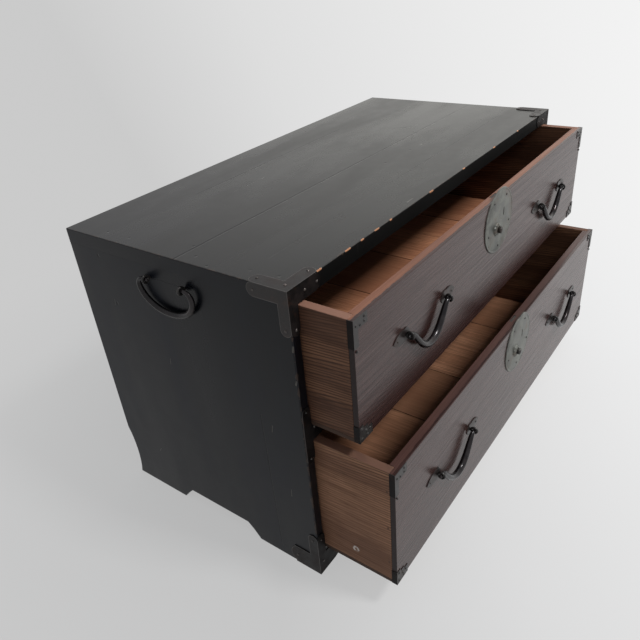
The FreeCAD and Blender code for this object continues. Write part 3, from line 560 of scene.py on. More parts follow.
def islands(node):
    """Boxes of the separate solids in one CAD node: (low, high) for each, left to right.

    Corners that share a place are joined first, then every face passes its lowest label to its
    corners until no label changes.
    """
    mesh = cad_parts[node].data
    spots = np.empty(len(mesh.vertices) * 3)
    mesh.vertices.foreach_get("co", spots)
    spots = spots.reshape(-1, 3)
    loops = np.empty(len(mesh.loops), np.int32)
    mesh.loops.foreach_get("vertex_index", loops)
    _, same = np.unique(np.round(spots * 1e6).astype(np.int64), axis=0, return_inverse=True)
    faces = same.reshape(-1)[loops].reshape(-1, 3)
    label = np.arange(same.max() + 1)
    while True:
        lowest = label[faces].min(axis=1)
        spread = label.copy()
        np.minimum.at(spread, faces, lowest[:, None])
        spread = spread[spread]
        if (spread == label).all():
            break
        label = spread
    owner = label[same.reshape(-1)]
    solids = [spots[owner == one] for one in np.unique(owner)]
    boxes = [(solid.min(axis=0), solid.max(axis=0)) for solid in solids]
    return sorted(boxes, key=lambda pair: tuple(np.round(pair[0], 4)))


def board_set(node, finish, body, axis=0, shares=(0, 1), gap=0.0):
    """Boards laid edge to edge in one node, each its own closed grid, with its own tone and dark seams.

    Each solid is divided along `axis` at `shares` of its length. The attribute `tone` is one number
    for each board, and `seam` falls from 1 to 0 within 1.4 mm of an edge between boards.
    """
    radius = 0.0008
    points, quads, tones, seams, count = [], [], [], [], 0
    for low, high in islands(node):
        places = low[axis] + np.asarray(shares) * (high[axis] - low[axis])
        for number, (start, end) in enumerate(zip(places, places[1:])):
            board_low, board_high = low.copy(), high.copy()
            board_low[axis], board_high[axis] = start + gap, end - gap
            spots, away, faces = board_surface(board_low, board_high, radius, 0.03)
            points.append(hand_worked(spots, away, 40 + number, 0.25, 0.0002))
            quads.append(faces + count)
            tones.append(np.full(len(spots), (number * 0.377 + 0.21) % 1.0))
            edge = np.minimum(spots[:, axis] - start, end - spots[:, axis]) / radius
            seams.append(np.clip(1.7 - edge, 0, 1))
            count += len(spots)
    piece = new_piece(f"{node}_piece", np.concatenate(points), np.concatenate(quads), finish, body, [node])
    for name, values in (("tone", tones), ("seam", seams)):
        layer = piece.data.attributes.new(name, "FLOAT", "POINT")
        layer.data.foreach_set("value", np.concatenate(values).astype(np.float32))


board_set("back_boards", bare_wood("back_boards_wood", 0, seed=2.2, toned=0.4, **aged), "case", axis=2,
          shares=(0, 1 / 3, 2 / 3, 1), gap=0.0003)
board_set("drawer_stops", bare_wood("drawer_stops_wood", 0, seed=2.9, **aged), "case")

peg_wood = bare_wood("peg_wood", 0, (0.13, 0.066, 0.038), (0.085, 0.042, 0.024), seed=3.1)


def dress(node, finish):
    """Give a CAD node that keeps its own shape a finish."""
    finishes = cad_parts[node].data.materials
    finishes.clear()
    finishes.append(finish)


dress("case_pegs", peg_wood)


# ---------------------------------------------------------------- drawer bodies
# Each drawer is a box of bare wood: a thick front whose ends lap over the side boards, two sides,
# a back, and a floor of five boards laid from front to back under the sides, all pegged.

def stained_front(name, low, high, figure_x, figure_z, seed, marks, bare_tones):
    """Drawer front: thin dark stain on the face and ends, bare pink-brown wood on the other faces.

    The growth lines are sin(1750 r), where r is the distance from the figure's middle, with x
    counted at 9 per cent and noise added. The stain ends 3.6 to 5.2 mm behind the face.
    """
    coat = Finish(name, Specular_Tint=(1.0, 0.86, 0.85, 1.0), Specular_IOR_Level=0.36)
    plain, split = coat.place(), coat.axes()
    wander = coat.noise(coat.place(scale=(2.2, 1, 9), move=(seed, 0, seed)), 1.6, 3, 0.5)
    across = coat.minus(split[2], figure_z)
    along = coat.times(coat.minus(split[0], figure_x), 0.09)
    ring = coat.sums("SQRT", coat.plus(coat.times(across, across), coat.times(along, along)))
    ring = coat.plus(ring, coat.times(wander, 0.028))
    growth = coat.span(coat.sums("SINE", coat.times(ring, 1750.0)), -0.6, 1.0)
    fibre = coat.noise(coat.place(scale=(0.012, 1, 1), move=(seed, 0, 0)), 520, 4, 0.6)
    cloud = coat.noise(plain, 3.5, 4, 0.6)
    thin_stain, thick_stain = (0.043, 0.0190, 0.0162), (0.028, 0.0114, 0.0100)
    worn_stain = (0.072, 0.043, 0.037)
    dark_line, dark_fibre, dark_end = (0.014, 0.008, 0.007), (0.013, 0.0075, 0.0065), (0.009, 0.0055, 0.0050)
    stain = coat.blend(coat.span(cloud, 0.35, 0.7), thick_stain, thin_stain)
    stain = coat.blend(coat.times(growth, 0.30), stain, dark_line)
    stain = coat.blend(coat.times(coat.span(fibre, 0.45, 0.7), 0.4), stain, dark_fibre)
    stain = coat.blend(coat.times(coat.span(fibre, 0.50, 0.34), 0.45), stain, worn_stain)
    raw = coat.blend(coat.span(fibre, 0.35, 0.7), bare_tones[0], bare_tones[1])
    raw = coat.blend(coat.times(coat.span(cloud, 0.4, 0.7), 0.5), raw, bare_tones[2])
    ragged = coat.times(coat.minus(coat.noise(plain, 70, 4, 0.7), 0.5), 0.004)
    off_face = coat.span(coat.plus(coat.minus(split[1], low[1]), ragged), 0.0036, 0.0052)
    for start, end, width, paint in marks:
        stain = coat.blend(coat.near(plain, start, end, width), stain, paint)
    half = (high[0] - low[0]) / 2
    inboard = coat.span(coat.minus(half, coat.sums("ABSOLUTE", split[0])), 0.0003, 0.0009)
    bare, end = coat.times(off_face, inboard), coat.minus(1.0, inboard)
    stain = coat.blend(end, stain, dark_end)
    rough = coat.plus(coat.span(fibre, 0.3, 0.7, 0.20, 0.31),
                      coat.plus(coat.times(bare, 0.18), coat.times(end, 0.35)))
    height = coat.plus(coat.times(fibre, 0.6), coat.times(growth, -0.35))
    return coat.done(Base_Color=coat.blend(bare, stain, raw), Roughness=rough,
                     Normal=coat.bump(height, 0.00008))


def cut_out(piece, tools):
    """Cut openings through a piece: each tool is a closed grid, taken away once it has cut."""
    helpers = []
    for points, quads in tools:
        helper = bpy.data.objects.new("opening", filled_mesh("opening", points, quads))
        bpy.context.scene.collection.objects.link(helper)
        helpers.append(helper)
        cutter = piece.modifiers.new("opening", "BOOLEAN")
        cutter.operation, cutter.solver, cutter.object = "DIFFERENCE", "EXACT", helper
    shaped = piece.evaluated_get(bpy.context.evaluated_depsgraph_get())
    mesh = bpy.data.meshes.new_from_object(shaped)
    mesh.set_sharp_from_angle(angle=CRISP)
    piece.modifiers.clear()
    piece.data = mesh
    for helper in helpers:
        bpy.data.objects.remove(helper)


def lathe(profile, centre, turns=48, axis=1):
    """Closed surface of revolution: each profile point (radius, height) goes round the axis.

    x = r cos a, z = r sin a and the height runs along the axis, so a ring of `turns` points is made
    for every profile point; the first and last rings shrink to poles.
    """
    radius, height = np.asarray(profile, float).T
    turn = np.linspace(0, 2 * np.pi, turns, endpoint=False)
    grid = np.empty((len(radius), turns, 3))
    grid[..., (axis + 2) % 3] = radius[:, None] * np.cos(turn)
    grid[..., (axis + 1) % 3] = radius[:, None] * np.sin(turn)
    grid[..., axis] = height[:, None]
    return ring_faces(grid + np.asarray(centre, float))


def ring_faces(grid):
    """Quads between rings, with both end rings closed on a point in their middle; faces point outwards."""
    rings, turns = grid.shape[:2]
    index = np.arange(rings * turns).reshape(rings, turns)
    after = np.roll(index, -1, axis=1)
    quads = np.stack([index[:-1], index[1:], after[1:], after[:-1]], -1).reshape(-1, 4)
    points = np.concatenate([grid.reshape(-1, 3), grid[[0, -1]].mean(axis=1)])
    first, last = rings * turns, rings * turns + 1
    caps = [np.stack([index[0], after[0], np.full(turns, first)], -1),
            np.stack([after[-1], index[-1], np.full(turns, last)], -1)]
    caps = np.concatenate(caps)
    quads = np.concatenate([quads, np.column_stack([caps, caps[:, 2]])])
    return outward(points, quads)


def outward(points, quads):
    """Turn a closed shell right way out: its volume, summed over the faces' triangles, is positive."""
    a, b, c, d = (points[quads[:, k]] for k in range(4))
    volume = (np.cross(a, b) * c).sum() + (np.cross(a, c) * d).sum()
    return points, quads if volume > 0 else quads[:, ::-1]


def joined(shells):
    """Several closed shells as one list of points and quads."""
    counts = np.cumsum([0] + [len(points) for points, _ in shells])
    return (np.concatenate([points for points, _ in shells]),
            np.concatenate([quads + count for (_, quads), count in zip(shells, counts)]))


def drawer_front(prefix, figure_x, figure_z, seed, bare_tones):
    """Front board: full width for the lap, then stepped in for the sides and the floor.

    Behind the lap y is squeezed to front + (y - front) * lap / thickness, outside the sides' inner
    faces and below the floor's top, which leaves the real T-shaped section.
    """
    low, high = box_of(f"{prefix}_drawer_front")
    side_low, side_high = box_of(f"{prefix}_drawer_left_side")
    edge = 0.0002
    reach, deck = -side_high[0], side_low[2]
    lap, thick = side_low[1] - low[1], high[1] - low[1]
    steps_at = ([-reach - edge, -reach + edge, reach - edge, reach + edge], [], [deck - edge, deck + edge])
    points, away, quads = board_surface(low, high, 0.0011, 0.014, steps_at)
    inner = step_share(np.abs(points[:, 0]), reach, edge) * step_share(-points[:, 2], -deck, edge)
    depth = points[:, 1] - low[1]
    points = hand_worked(points, away, seed, 0.3, 0.00025)
    points[:, 1] -= depth * (1 - inner) * (1 - lap / thick)
    coat = stained_front(f"{prefix}_front_stain", low, high, figure_x, figure_z, seed,
                         front_marks(prefix, low), bare_tones)
    board = new_piece(f"{prefix}_drawer_front_piece", points, quads, coat, f"{prefix}_drawer",
                      [f"{prefix}_drawer_front"])
    cut_out(board, lock_spaces(prefix, low, high))


def lock_spaces(prefix, low, high):
    """Closed grids of the openings in a front: lock box, bolt, button and keyhole, each with its play.

    Each tool reaches a little past the faces that it opens.
    """
    play, past, into_box = 0.0003, 0.002, 0.001
    box_low, box_high = box_of(f"{prefix}_lock_box")
    bolt_low, bolt_high = box_of(f"{prefix}_lock_bolt")
    button_low, button_high = box_of(f"{prefix}_lock_button")
    recess_high = np.array([box_high[0] + play, high[1] + past, box_high[2] + play])
    recess = block(box_low - play, recess_high, 0.0002, 0.05)
    way_up = block(bolt_low - play, np.array([*(bolt_high[:2] + play), high[2] + past]), 0.0002, 0.05)
    middle = (button_low + button_high) / 2
    radius = (button_high[0] - button_low[0]) / 2 + play
    start, end = low[1] - past, box_low[1] + into_box
    hole = lathe([(radius, start), (radius, end)], (middle[0], 0, middle[2]), 32)
    return [recess, way_up, hole, block(*keyhole_box(prefix, start, end), 0.0004, 0.02)]


def plate_centre(prefix):
    """Height of the round lock plate's middle, one radius above its lowest point, and its radius."""
    low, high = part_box(f"{prefix}_lock_plate")
    radius = (high[0] - low[0]) / 2
    return low[2] + radius, radius


def keyhole_box(prefix, start, end):
    """Tall narrow slot right of the plate's centre, between two depths."""
    centre, _ = plate_centre(prefix)
    across, above, half_width, half_tall = 0.0155, 0.0105, 0.0015, 0.00675
    return (np.array([across - half_width, start, centre + above - half_tall]),
            np.array([across + half_width, end, centre + above + half_tall]))


def front_marks(prefix, low):
    """Lines that the maker scribed to set out the bails, and small dark dents near their middle."""
    face = low[1]
    scribed, dented = (0.022, 0.018, 0.017), (0.012, 0.01, 0.01)
    reach, above, dent = 0.072, 0.006, 0.0006
    marks = []
    for side in ("left", "right"):
        bail_low, bail_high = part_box(f"{prefix}_{side}_bail")
        middle, line = (bail_low[0] + bail_high[0]) / 2, bail_high[2] + above
        marks.append(((middle - reach, face, line), (middle + reach, face, line), 0.0006, scribed))
        for x in (middle - 0.006, middle + 0.004):
            marks.append(((x, face, line - 0.004), (x + dent, face, line - 0.004), 0.0011, dented))
    return marks


def drawer_body(prefix, tones, rim_colour, floor_tones, scuffed=()):
    """Sides, back and floor of one drawer, each board with its own run of grain.

    `rim_colour` is the colour of the boards' upper edges, and `scuffed` gives the place of a pale ring
    on a side, counted from that side's lowest corner.
    """
    body = f"{prefix}_drawer"
    # The first colour is painted shade: a dark strip, shadow_line wide, along both ends of the drawer floor
    # where it meets the sides.
    painted_shade_dark, edge_wear_deep, shadow_line = (0.045, 0.025, 0.016), 0.0006, 0.0015
    for number, side in enumerate(("left_side", "right_side", "back")):
        low, high = box_of(f"{body}_{side}")
        scuff = low + scuffed[side] if side in scuffed else None
        wood = bare_wood(f"{prefix}_{side}_wood", 0 if side == "back" else 1, *tones, figure=75,
                         seed=1.1 + number + len(prefix), ridges=2, scuff=scuff,
                         rim=(2, high[2] - edge_wear_deep, rim_colour))
        wooden_board(f"{body}_{side}", wood, body, radius=0.0009, step=0.02, seed=60 + number)
    floor_high = box_of(f"{body}_floor_boards")[1]
    boards = bare_wood(f"{prefix}_floor_wood", 1, *floor_tones, figure=62, seed=4.7 + len(prefix),
                       streak=0.7, toned=0.75, ridges=0, rim=(0, floor_high[0] - shadow_line, painted_shade_dark))
    board_set(f"{body}_floor_boards", boards, body, shares=(0, 0.16, 0.39, 0.57, 0.82, 1), gap=0.0003)
    dress(f"{body}_pegs", peg_wood)


drawer_front("top", 0.16, 0.375, 31,
             ((0.25, 0.103, 0.058), (0.17, 0.068, 0.038), (0.11, 0.045, 0.026)))
drawer_front("bottom", 0.11, 0.150, 32,
             ((0.085, 0.040, 0.032), (0.055, 0.024, 0.019), (0.040, 0.018, 0.015)))
drawer_body("top", ((0.185, 0.088, 0.046), (0.090, 0.039, 0.021)), (0.27, 0.14, 0.098),
            ((0.80, 0.375, 0.20), (0.47, 0.19, 0.098)))
drawer_body("bottom", ((0.340, 0.175, 0.098), (0.150, 0.068, 0.037)), (0.125, 0.064, 0.044),
            ((0.52, 0.265, 0.15), (0.30, 0.135, 0.07)), {"left_side": (0, 0.060, 0.026)})


# ---------------------------------------------------------------- irons
# Thin hand-cut iron plates, blackened with lacquer and worn: caps and plates on the case's corners
# and rail, small folded irons on the drawers' corners, and strike plates for the bolts.

def iron(name, dark, light, rust, rough, metal=0.35, grit=180, depth=0.00012, shine=0.5):
    """Old blackened iron: hammered unevenness, greyer rubbed patches, rust-brown specks and pits."""
    coat = Finish(name, Metallic=metal, Specular_IOR_Level=shine)
    plain = coat.place()
    patches = coat.noise(plain, 55, 4, 0.62, 0.3)
    hammered = coat.noise(plain, grit, 3, 0.5)
    pits = coat.span(coat.noise(plain, grit * 4, 2, 0.5), 0.63, 0.72)
    stains = coat.span(coat.noise(coat.place(move=(0.7, 0.2, 0.4)), 38, 5, 0.7), 0.52, 0.66)
    color = coat.blend(coat.span(patches, 0.36, 0.66), dark, light)
    color = coat.blend(coat.times(stains, 0.6), color, rust)
    color = coat.blend(coat.times(pits, 0.6), color, shade(dark, 0.4))
    height = coat.minus(coat.times(hammered, 0.8), coat.times(pits, 0.4))
    return coat.done(Base_Color=color, Roughness=coat.span(patches, 0.3, 0.7, rough - 0.08, rough + 0.12),
                     Normal=coat.bump(height, depth))


def faced_plates(node, body, finishes, dark_axis, rim, rim_axes):
    """Copy of a CAD node's plates with a finish for each kind of face, and a narrow paler rim.

    `finishes` are for the plain faces, for the rim, and for the faces that point along `dark_axis`.
    The outermost faces along each of `rim_axes` are inset by `rim` along their outline, and the
    strip between the two outlines is the rim.
    """
    shape = bmesh.new()
    shape.from_mesh(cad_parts[node].data)
    bmesh.ops.remove_doubles(shape, verts=shape.verts, dist=1e-6)
    for face in shape.faces:
        face.smooth = False
        face.material_index = 2 if abs(face.normal[dark_axis]) > 0.9 else 0
    for axis in rim_axes:
        ends = [corner[axis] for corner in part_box(node)]
        outer = [face for face in shape.faces if abs(face.normal[axis]) > 0.999
                 and min(abs(face.calc_center_median()[axis] - end) for end in ends) < 1e-5]
        strip = bmesh.ops.inset_region(shape, faces=outer, thickness=rim, use_even_offset=True,
                                       use_boundary=True)
        for face in strip["faces"]:
            face.material_index = 1
    mesh = bpy.data.meshes.new(f"{node}_faced")
    shape.to_mesh(mesh)
    shape.free()
    for finish in finishes:
        mesh.materials.append(finish)
    piece = bpy.data.objects.new(f"{node}_faced", mesh)
    bpy.context.scene.collection.objects.link(piece)
    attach(piece, body)
    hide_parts(node)


case_iron = iron("case_iron", (0.0085, 0.0062, 0.0060), (0.022, 0.0165, 0.0155), (0.032, 0.018, 0.013),
                 0.42, 0.25)
# A paler iron for the narrow rim along the plates' outlines.
pale_rim = iron("worn_rim_iron", (0.055, 0.050, 0.048), (0.115, 0.105, 0.10), (0.06, 0.04, 0.03), 0.36, 0.4)
foot_iron = iron("foot_iron", (0.0050, 0.0040, 0.0040), (0.014, 0.0105, 0.010), (0.026, 0.014, 0.010),
                 0.5, 0.15, shine=0.28)
black_iron = iron("black_iron", (0.0045, 0.0038, 0.0038), (0.012, 0.009, 0.0085), (0.03, 0.014, 0.009),
                  0.55, 0.1, shine=0.12)
upper_plate, foot_plate = (case_iron, pale_rim, black_iron), (foot_iron, pale_rim, black_iron)
rim_width = 0.0007
for side in ("left", "right"):
    faced_plates(f"top_{side}_corner_cap", "case", upper_plate, 1, rim_width, (0, 2))
    faced_plates(f"bottom_{side}_corner_plate", "case", foot_plate, 1, rim_width, (0,))
    faced_plates(f"{side}_rail_plate", "case", upper_plate, 1, 0.0, ())
for node in ("top_strike_plate", "rail_strike_plate"):
    dress(node, case_iron)

drawer_iron = iron("drawer_iron", (0.017, 0.0142, 0.0138), (0.034, 0.031, 0.029), (0.036, 0.022, 0.018),
                   0.36)
for prefix in ("top", "bottom"):
    faced_plates(f"{prefix}_drawer_corner_irons", f"{prefix}_drawer",
                 (drawer_iron, drawer_iron, black_iron), 0, 0.0, ())


# ---------------------------------------------------------------- nails
# Round-headed forged nails hold every iron. The head is a low dome with a soft edge, slightly off
# round, and the shank runs into the wood.

def nail_shell(low, high, seed):
    """One nail in its box: the head faces away from the wood along the box's longest side.

    Radius and height follow a short profile from the dome's top to the shank's point, and the
    section is drawn in by up to a tenth, as 0.05 (1 + sin(2a + a0)), with a0 drawn for each nail.
    """
    size = high - low
    axis = int(np.argmax(size))
    middle = (low + high) / 2
    radius, length = np.sort(size)[0] / 2, size[axis]
    faces_up = middle[axis] > 0 if axis == 0 else axis == 2
    head = np.array([(0.06, 0.0), (0.45, -0.07), (0.78, -0.24), (0.96, -0.46), (1.0, -0.58), (0.86, -0.62),
                     (0.42, -0.66)]) * radius
    profile = np.vstack([head, [(0.38 * radius, 0.3 * radius - length), (0.05 * radius, -length)]])
    if faces_up:
        middle[axis] = high[axis]
    else:
        middle[axis] = low[axis]
        profile[:, 1] *= -1
    points, quads = lathe(profile, middle, 14, axis)
    draw = np.random.default_rng(seed)
    across, along = (axis + 1) % 3, (axis + 2) % 3
    turn = np.arctan2(points[:, across] - middle[across], points[:, along] - middle[along])
    squash = 1 - 0.05 * (1 + np.sin(2 * turn + draw.uniform(0, 6.28)))
    for side in (across, along):
        points[:, side] = middle[side] + (points[:, side] - middle[side]) * squash
    return points, quads


nail_iron = iron("nail_iron", (0.016, 0.015, 0.015), (0.050, 0.046, 0.043), (0.045, 0.030, 0.022),
                 0.34, 0.5, 420)
# The case nails get a paler iron than the drawer nails: partly a painted highlight, the glint on their domed
# heads.
case_nail_glint_iron = iron("case_nail_glint_iron", (0.030, 0.026, 0.024), (0.13, 0.11, 0.10), (0.08, 0.05, 0.04),
                      0.26, 0.5, 420)
for node, body, finish in (("case_nails", "case", case_nail_glint_iron),
                           ("top_drawer_nails", "top_drawer", nail_iron),
                           ("bottom_drawer_nails", "bottom_drawer", nail_iron)):
    shells = [nail_shell(low, high, number) for number, (low, high) in enumerate(islands(node))]
    new_piece(f"{node}_heads", *joined(shells), finish, body, [node])


# ---------------------------------------------------------------- round locks
# Each drawer has a round iron plate let on to its front, with a raised collar round a push button
# and a tall keyhole. Behind it a tray holds the bolt, which goes up into the board above.

lock_iron = iron("lock_iron", (0.070, 0.072, 0.064), (0.165, 0.168, 0.150), (0.095, 0.068, 0.050),
                 0.44, 0.4, 150)
button_iron = iron("button_iron", (0.022, 0.021, 0.020), (0.075, 0.072, 0.066), (0.055, 0.036, 0.026),
                   0.36, 0.5)
works_iron = iron("lock_works_iron", (0.026, 0.024, 0.023), (0.060, 0.055, 0.050), (0.075, 0.045, 0.030),
                  0.52)


def round_lock(prefix):
    """Plate as a lathe profile with a softened rim and a shallow turned line, its collar and button.

    The plate is 1 mm wider open round the button than the collar's bore, which covers that edge.
    A plate whose top would meet the rail above is cut off level.
    """
    body = f"{prefix}_drawer"
    low, high = box_of(f"{prefix}_lock_plate")
    button_low, button_high = box_of(f"{prefix}_lock_button")
    centre, radius = plate_centre(prefix)
    collar_height, past = 0.004, 0.002
    face, back = low[1] + collar_height, high[1]
    rim, line = 0.0013, 0.0005
    groove = radius * 0.93
    plate = lathe([(0.002, face), (groove * 0.5, face), (groove - 0.0009, face), (groove, face + line),
                   (groove + 0.0009, face), (radius - rim, face), (radius - rim * 0.3, face + rim * 0.3),
                   (radius, face + rim), (radius, back), (radius * 0.5, back), (0.002, back)],
                  (0, 0, centre), 128)
    piece = new_piece(f"{prefix}_lock_plate_piece", *plate, lock_iron, body, [f"{prefix}_lock_plate"])
    middle = (button_low + button_high) / 2
    hole = (button_high[0] - button_low[0]) / 2 + 0.0003
    opening = hole + 0.001
    tools = [lathe([(opening, face - past), (opening, back + past)], (middle[0], 0, middle[2]), 48),
             block(*keyhole_box(prefix, face - past, back + past), 0.0005, 0.02)]
    if high[2] < centre + radius - 0.001:
        wide, deep, tall = 0.08, 0.003, 0.04
        tools.append(block((-wide, face - deep, high[2]), (wide, back + deep, high[2] + tall), 0.0003, 0.1))
    cut_out(piece, tools)
    collar_ring(prefix, middle, hole, low[1], back, body)
    push_button(prefix, button_low, button_high)


def collar_ring(prefix, middle, hole, start, back, body):
    """Raised collar round the button: a domed ring, closed behind, with nine shallow lobes.

    A share (1 - cos 9a) / 2 of each section is drawn in at the rim and sunk half-way up the dome.
    """
    width, count = 0.0057, 96
    section = np.array([(0, back), (0, start + 0.0007), (0.0006, start), (0.0017, start + 0.0002),
                        (0.0030, start + 0.0008), (0.0042, start + 0.0018), (0.0052, start + 0.0030),
                        (width, start + 0.0042), (width, back)])
    turn = np.linspace(0, 2 * np.pi, count, endpoint=False)
    lobes = 0.5 - 0.5 * np.cos(9 * turn)
    share = (section[:, :1] / width) ** 1.5
    radius = hole + section[:, :1] - 0.0010 * share * lobes
    sunk = 0.0009 * np.sin(np.pi * section[:, :1] / width) * lobes
    grid = np.empty((len(section), count, 3))
    grid[..., 0] = middle[0] + radius * np.cos(turn)
    grid[..., 1] = section[:, 1:] + np.where(section[:, 1:] < back, sunk, 0)
    grid[..., 2] = middle[2] + radius * np.sin(turn)
    index = np.arange(grid.size // 3).reshape(grid.shape[:2])
    below, after = np.roll(index, -1, axis=0), np.roll(index, -1, axis=1)
    quads = np.stack([index, below, np.roll(below, -1, axis=1), after], -1).reshape(-1, 4)
    points, quads = outward(grid.reshape(-1, 3), quads)
    new_piece(f"{prefix}_lock_collar_piece", points, quads, lock_iron, body, [f"{prefix}_lock_plate"])


def push_button(prefix, low, high):
    """Button: a short turned knob with a rounded face, on a thinner tail that reaches the lock."""
    middle = (low + high) / 2
    radius, start, tail = (high[0] - low[0]) / 2, low[1], 0.003
    shoulder = start + 0.0128
    profile = [(0.0006, start), (radius * 0.5, start + 0.0002), (radius * 0.8, start + 0.0008),
               (radius * 0.96, start + 0.0019), (radius, start + 0.0030), (radius * 0.95, start + 0.0055),
               (radius * 0.93, start + 0.0080), (radius * 0.97, shoulder - 0.0006),
               (radius * 0.94, shoulder), (tail, shoulder), (tail, high[1] - 0.0003),
               (tail * 0.9, high[1]), (0.0006, high[1])]
    button = f"{prefix}_lock_button"
    shell = lathe(profile, (middle[0], 0, middle[2]), 40)
    new_piece(f"{button}_piece", *shell, button_iron, button, [button])


for prefix in ("top", "bottom"):
    round_lock(prefix)
    dress(f"{prefix}_lock_box", works_iron)
    bolt = f"{prefix}_lock_bolt"
    new_piece(f"{bolt}_piece", *block(*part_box(bolt), 0.0005, 0.01), works_iron, bolt, [bolt])


# ---------------------------------------------------------------- forged bails
# Six forged bails: thin pins in split eyes swell into a thick grip. The bar is black and glossy
# from handling, and its section is slightly faceted by the hammer.

def bail_path(half, drop, bow, tips, curl, belly, count):
    """Middle line of a bail with its pivot on x: straight pins, then one cubic curve down each side.

    The curve is a(1-t)^3 + 3b(1-t)^2 t + 3c(1-t)t^2 + d t^3 from the eye to the lowest point, and
    the other side mirrors it. `half` is half the distance between the eyes, `drop` and `bow` are how
    far the lowest point hangs below them and in front of them, `tips` are the pin's end and the
    curve's start counted from the eye, and `curl` and `belly` place b and c along x. Returns the
    points, t (0 at the eyes and 1 in the middle), and the direction in which the bail hangs.
    """
    tip, start = half + tips[0], half + tips[1]
    lean = np.array([0, -bow, -drop])
    a, b = np.array([start, 0, 0]), np.array([start + curl, 0, 0])
    c, d = lean + np.array([belly, 0, 0]), lean
    t = np.linspace(0, 1, count)[:, None]
    curve = a * (1 - t) ** 3 + 3 * b * (1 - t) ** 2 * t + 3 * c * (1 - t) * t ** 2 + d * t ** 3
    pin = np.linspace([tip, 0, 0], [start, 0, 0], 6)[:-1]
    side = np.concatenate([pin, curve])
    share = np.concatenate([np.zeros(len(pin)), t[:, 0]])
    other = side[-2::-1] * np.array([-1, 1, 1])
    hang = lean / np.linalg.norm(lean)
    return np.concatenate([side, other]), np.concatenate([share, share[-2::-1]]), hang


def bail_shell(path, share, hang, pin, middle):
    """Bar along the path: radius pin + (middle - pin) sin(pi t / 2)^0.7, times 1 + 0.035 cos 4a.

    Each ring stands square to the path, and three more rings at each end round it to a dome.
    """
    aim = np.gradient(path, axis=0)
    aim /= np.linalg.norm(aim, axis=1, keepdims=True)
    normal = np.cross([1.0, 0, 0], hang)
    normal = np.broadcast_to(normal / np.linalg.norm(normal), path.shape)
    across = np.cross(aim, normal)
    radius = pin + (middle - pin) * np.sin(np.pi / 2 * share) ** 0.7
    dome = np.radians([80, 55, 28])
    start, end = path[0], path[-1]
    first = start + aim[0] * pin * (1 - np.sin(dome))[:, None]
    last = end - aim[-1] * pin * (1 - np.sin(dome[::-1]))[:, None]
    keep = (np.linalg.norm(path - start, axis=1) > pin) & (np.linalg.norm(path - end, axis=1) > pin)
    path = np.concatenate([first, path[keep], last])
    radius = np.concatenate([pin * np.cos(dome), radius[keep], pin * np.cos(dome[::-1])])
    caps = len(dome)
    normal = np.concatenate([np.repeat(normal[:1], caps, 0), normal[keep], np.repeat(normal[-1:], caps, 0)])
    across = np.concatenate([np.repeat(across[:1], caps, 0), across[keep], np.repeat(across[-1:], caps, 0)])
    turn, facets = np.linspace(0, 2 * np.pi, 28, endpoint=False), 0.035
    facet = (1 + facets * np.cos(4 * turn)) / (1 + facets)
    round_off = radius[:, None] * facet
    grid = (path[:, None] + across[:, None] * (round_off * np.cos(turn))[..., None]
            + normal[:, None] * (round_off * np.sin(turn))[..., None])
    return ring_faces(grid)


bail_iron = iron("bail_iron", (0.010, 0.009, 0.010), (0.024, 0.020, 0.021), (0.026, 0.016, 0.015),
                 0.20, 0.5, 90, 0.00003)
PIN, STAND = 0.0028, 0.008
front_shape = {"half": 0.056, "drop": 0.0406, "bow": 0.001, "tips": (0.005, -0.003), "curl": -0.0113,
               "belly": 0.0298, "count": 44}
side_shape = {"half": 0.035, "drop": 0.0468, "bow": -0.0025, "tips": (-0.005, 0.005), "curl": 0.024,
              "belly": 0.053, "count": 44}


def hang_bail(node, eyes, face, shape, middle, turn):
    """Set a bail level with its eyes, its pivot line 8 mm off the board's face, turned to that face."""
    low, high = box_of(node)
    points, quads = bail_shell(*bail_path(**shape), PIN, middle)
    swing = np.array(Matrix.Rotation(np.radians(turn), 3, "Z"))
    pivot = (low + high) / 2
    pivot[0 if turn else 1] = face + (STAND if turn > 0 else -STAND)
    pivot[2] = sum(corner[2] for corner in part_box(eyes)) / 2
    new_piece(f"{node}_piece", points @ swing.T + pivot, quads, bail_iron, node, [node])


front_grip, side_grip = 0.0056, 0.0048
for prefix in ("top", "bottom"):
    face = box_of(f"{prefix}_drawer_front")[0][1]
    for side in ("left", "right"):
        hang_bail(f"{prefix}_{side}_bail", f"{prefix}_bail_eyes", face, front_shape, front_grip, 0)
for side, face, turn in (("left", case_low[0], -90), ("right", case_high[0], 90)):
    hang_bail(f"{side}_side_bail", f"{side}_side_bail_eyes", face, side_shape, side_grip, turn)

leaf_iron = iron("leaf_iron", (0.013, 0.009, 0.0085), (0.032, 0.025, 0.023), (0.035, 0.019, 0.015),
                 0.36, 0.3)
eye_iron = iron("eye_iron", (0.014, 0.013, 0.013), (0.040, 0.037, 0.035), (0.038, 0.026, 0.020),
                0.30, 0.5, 300)
for prefix in ("top", "bottom"):
    dress(f"{prefix}_bail_plates", leaf_iron)
    dress(f"{prefix}_bail_eyes", eye_iron)
for side in ("left", "right"):
    dress(f"{side}_side_bail_eyes", eye_iron)


# ---------------------------------------------------------------- studio
# A pale floor, a small soft light high in front, a large weak window far to the right, and a weak
# pale sky.

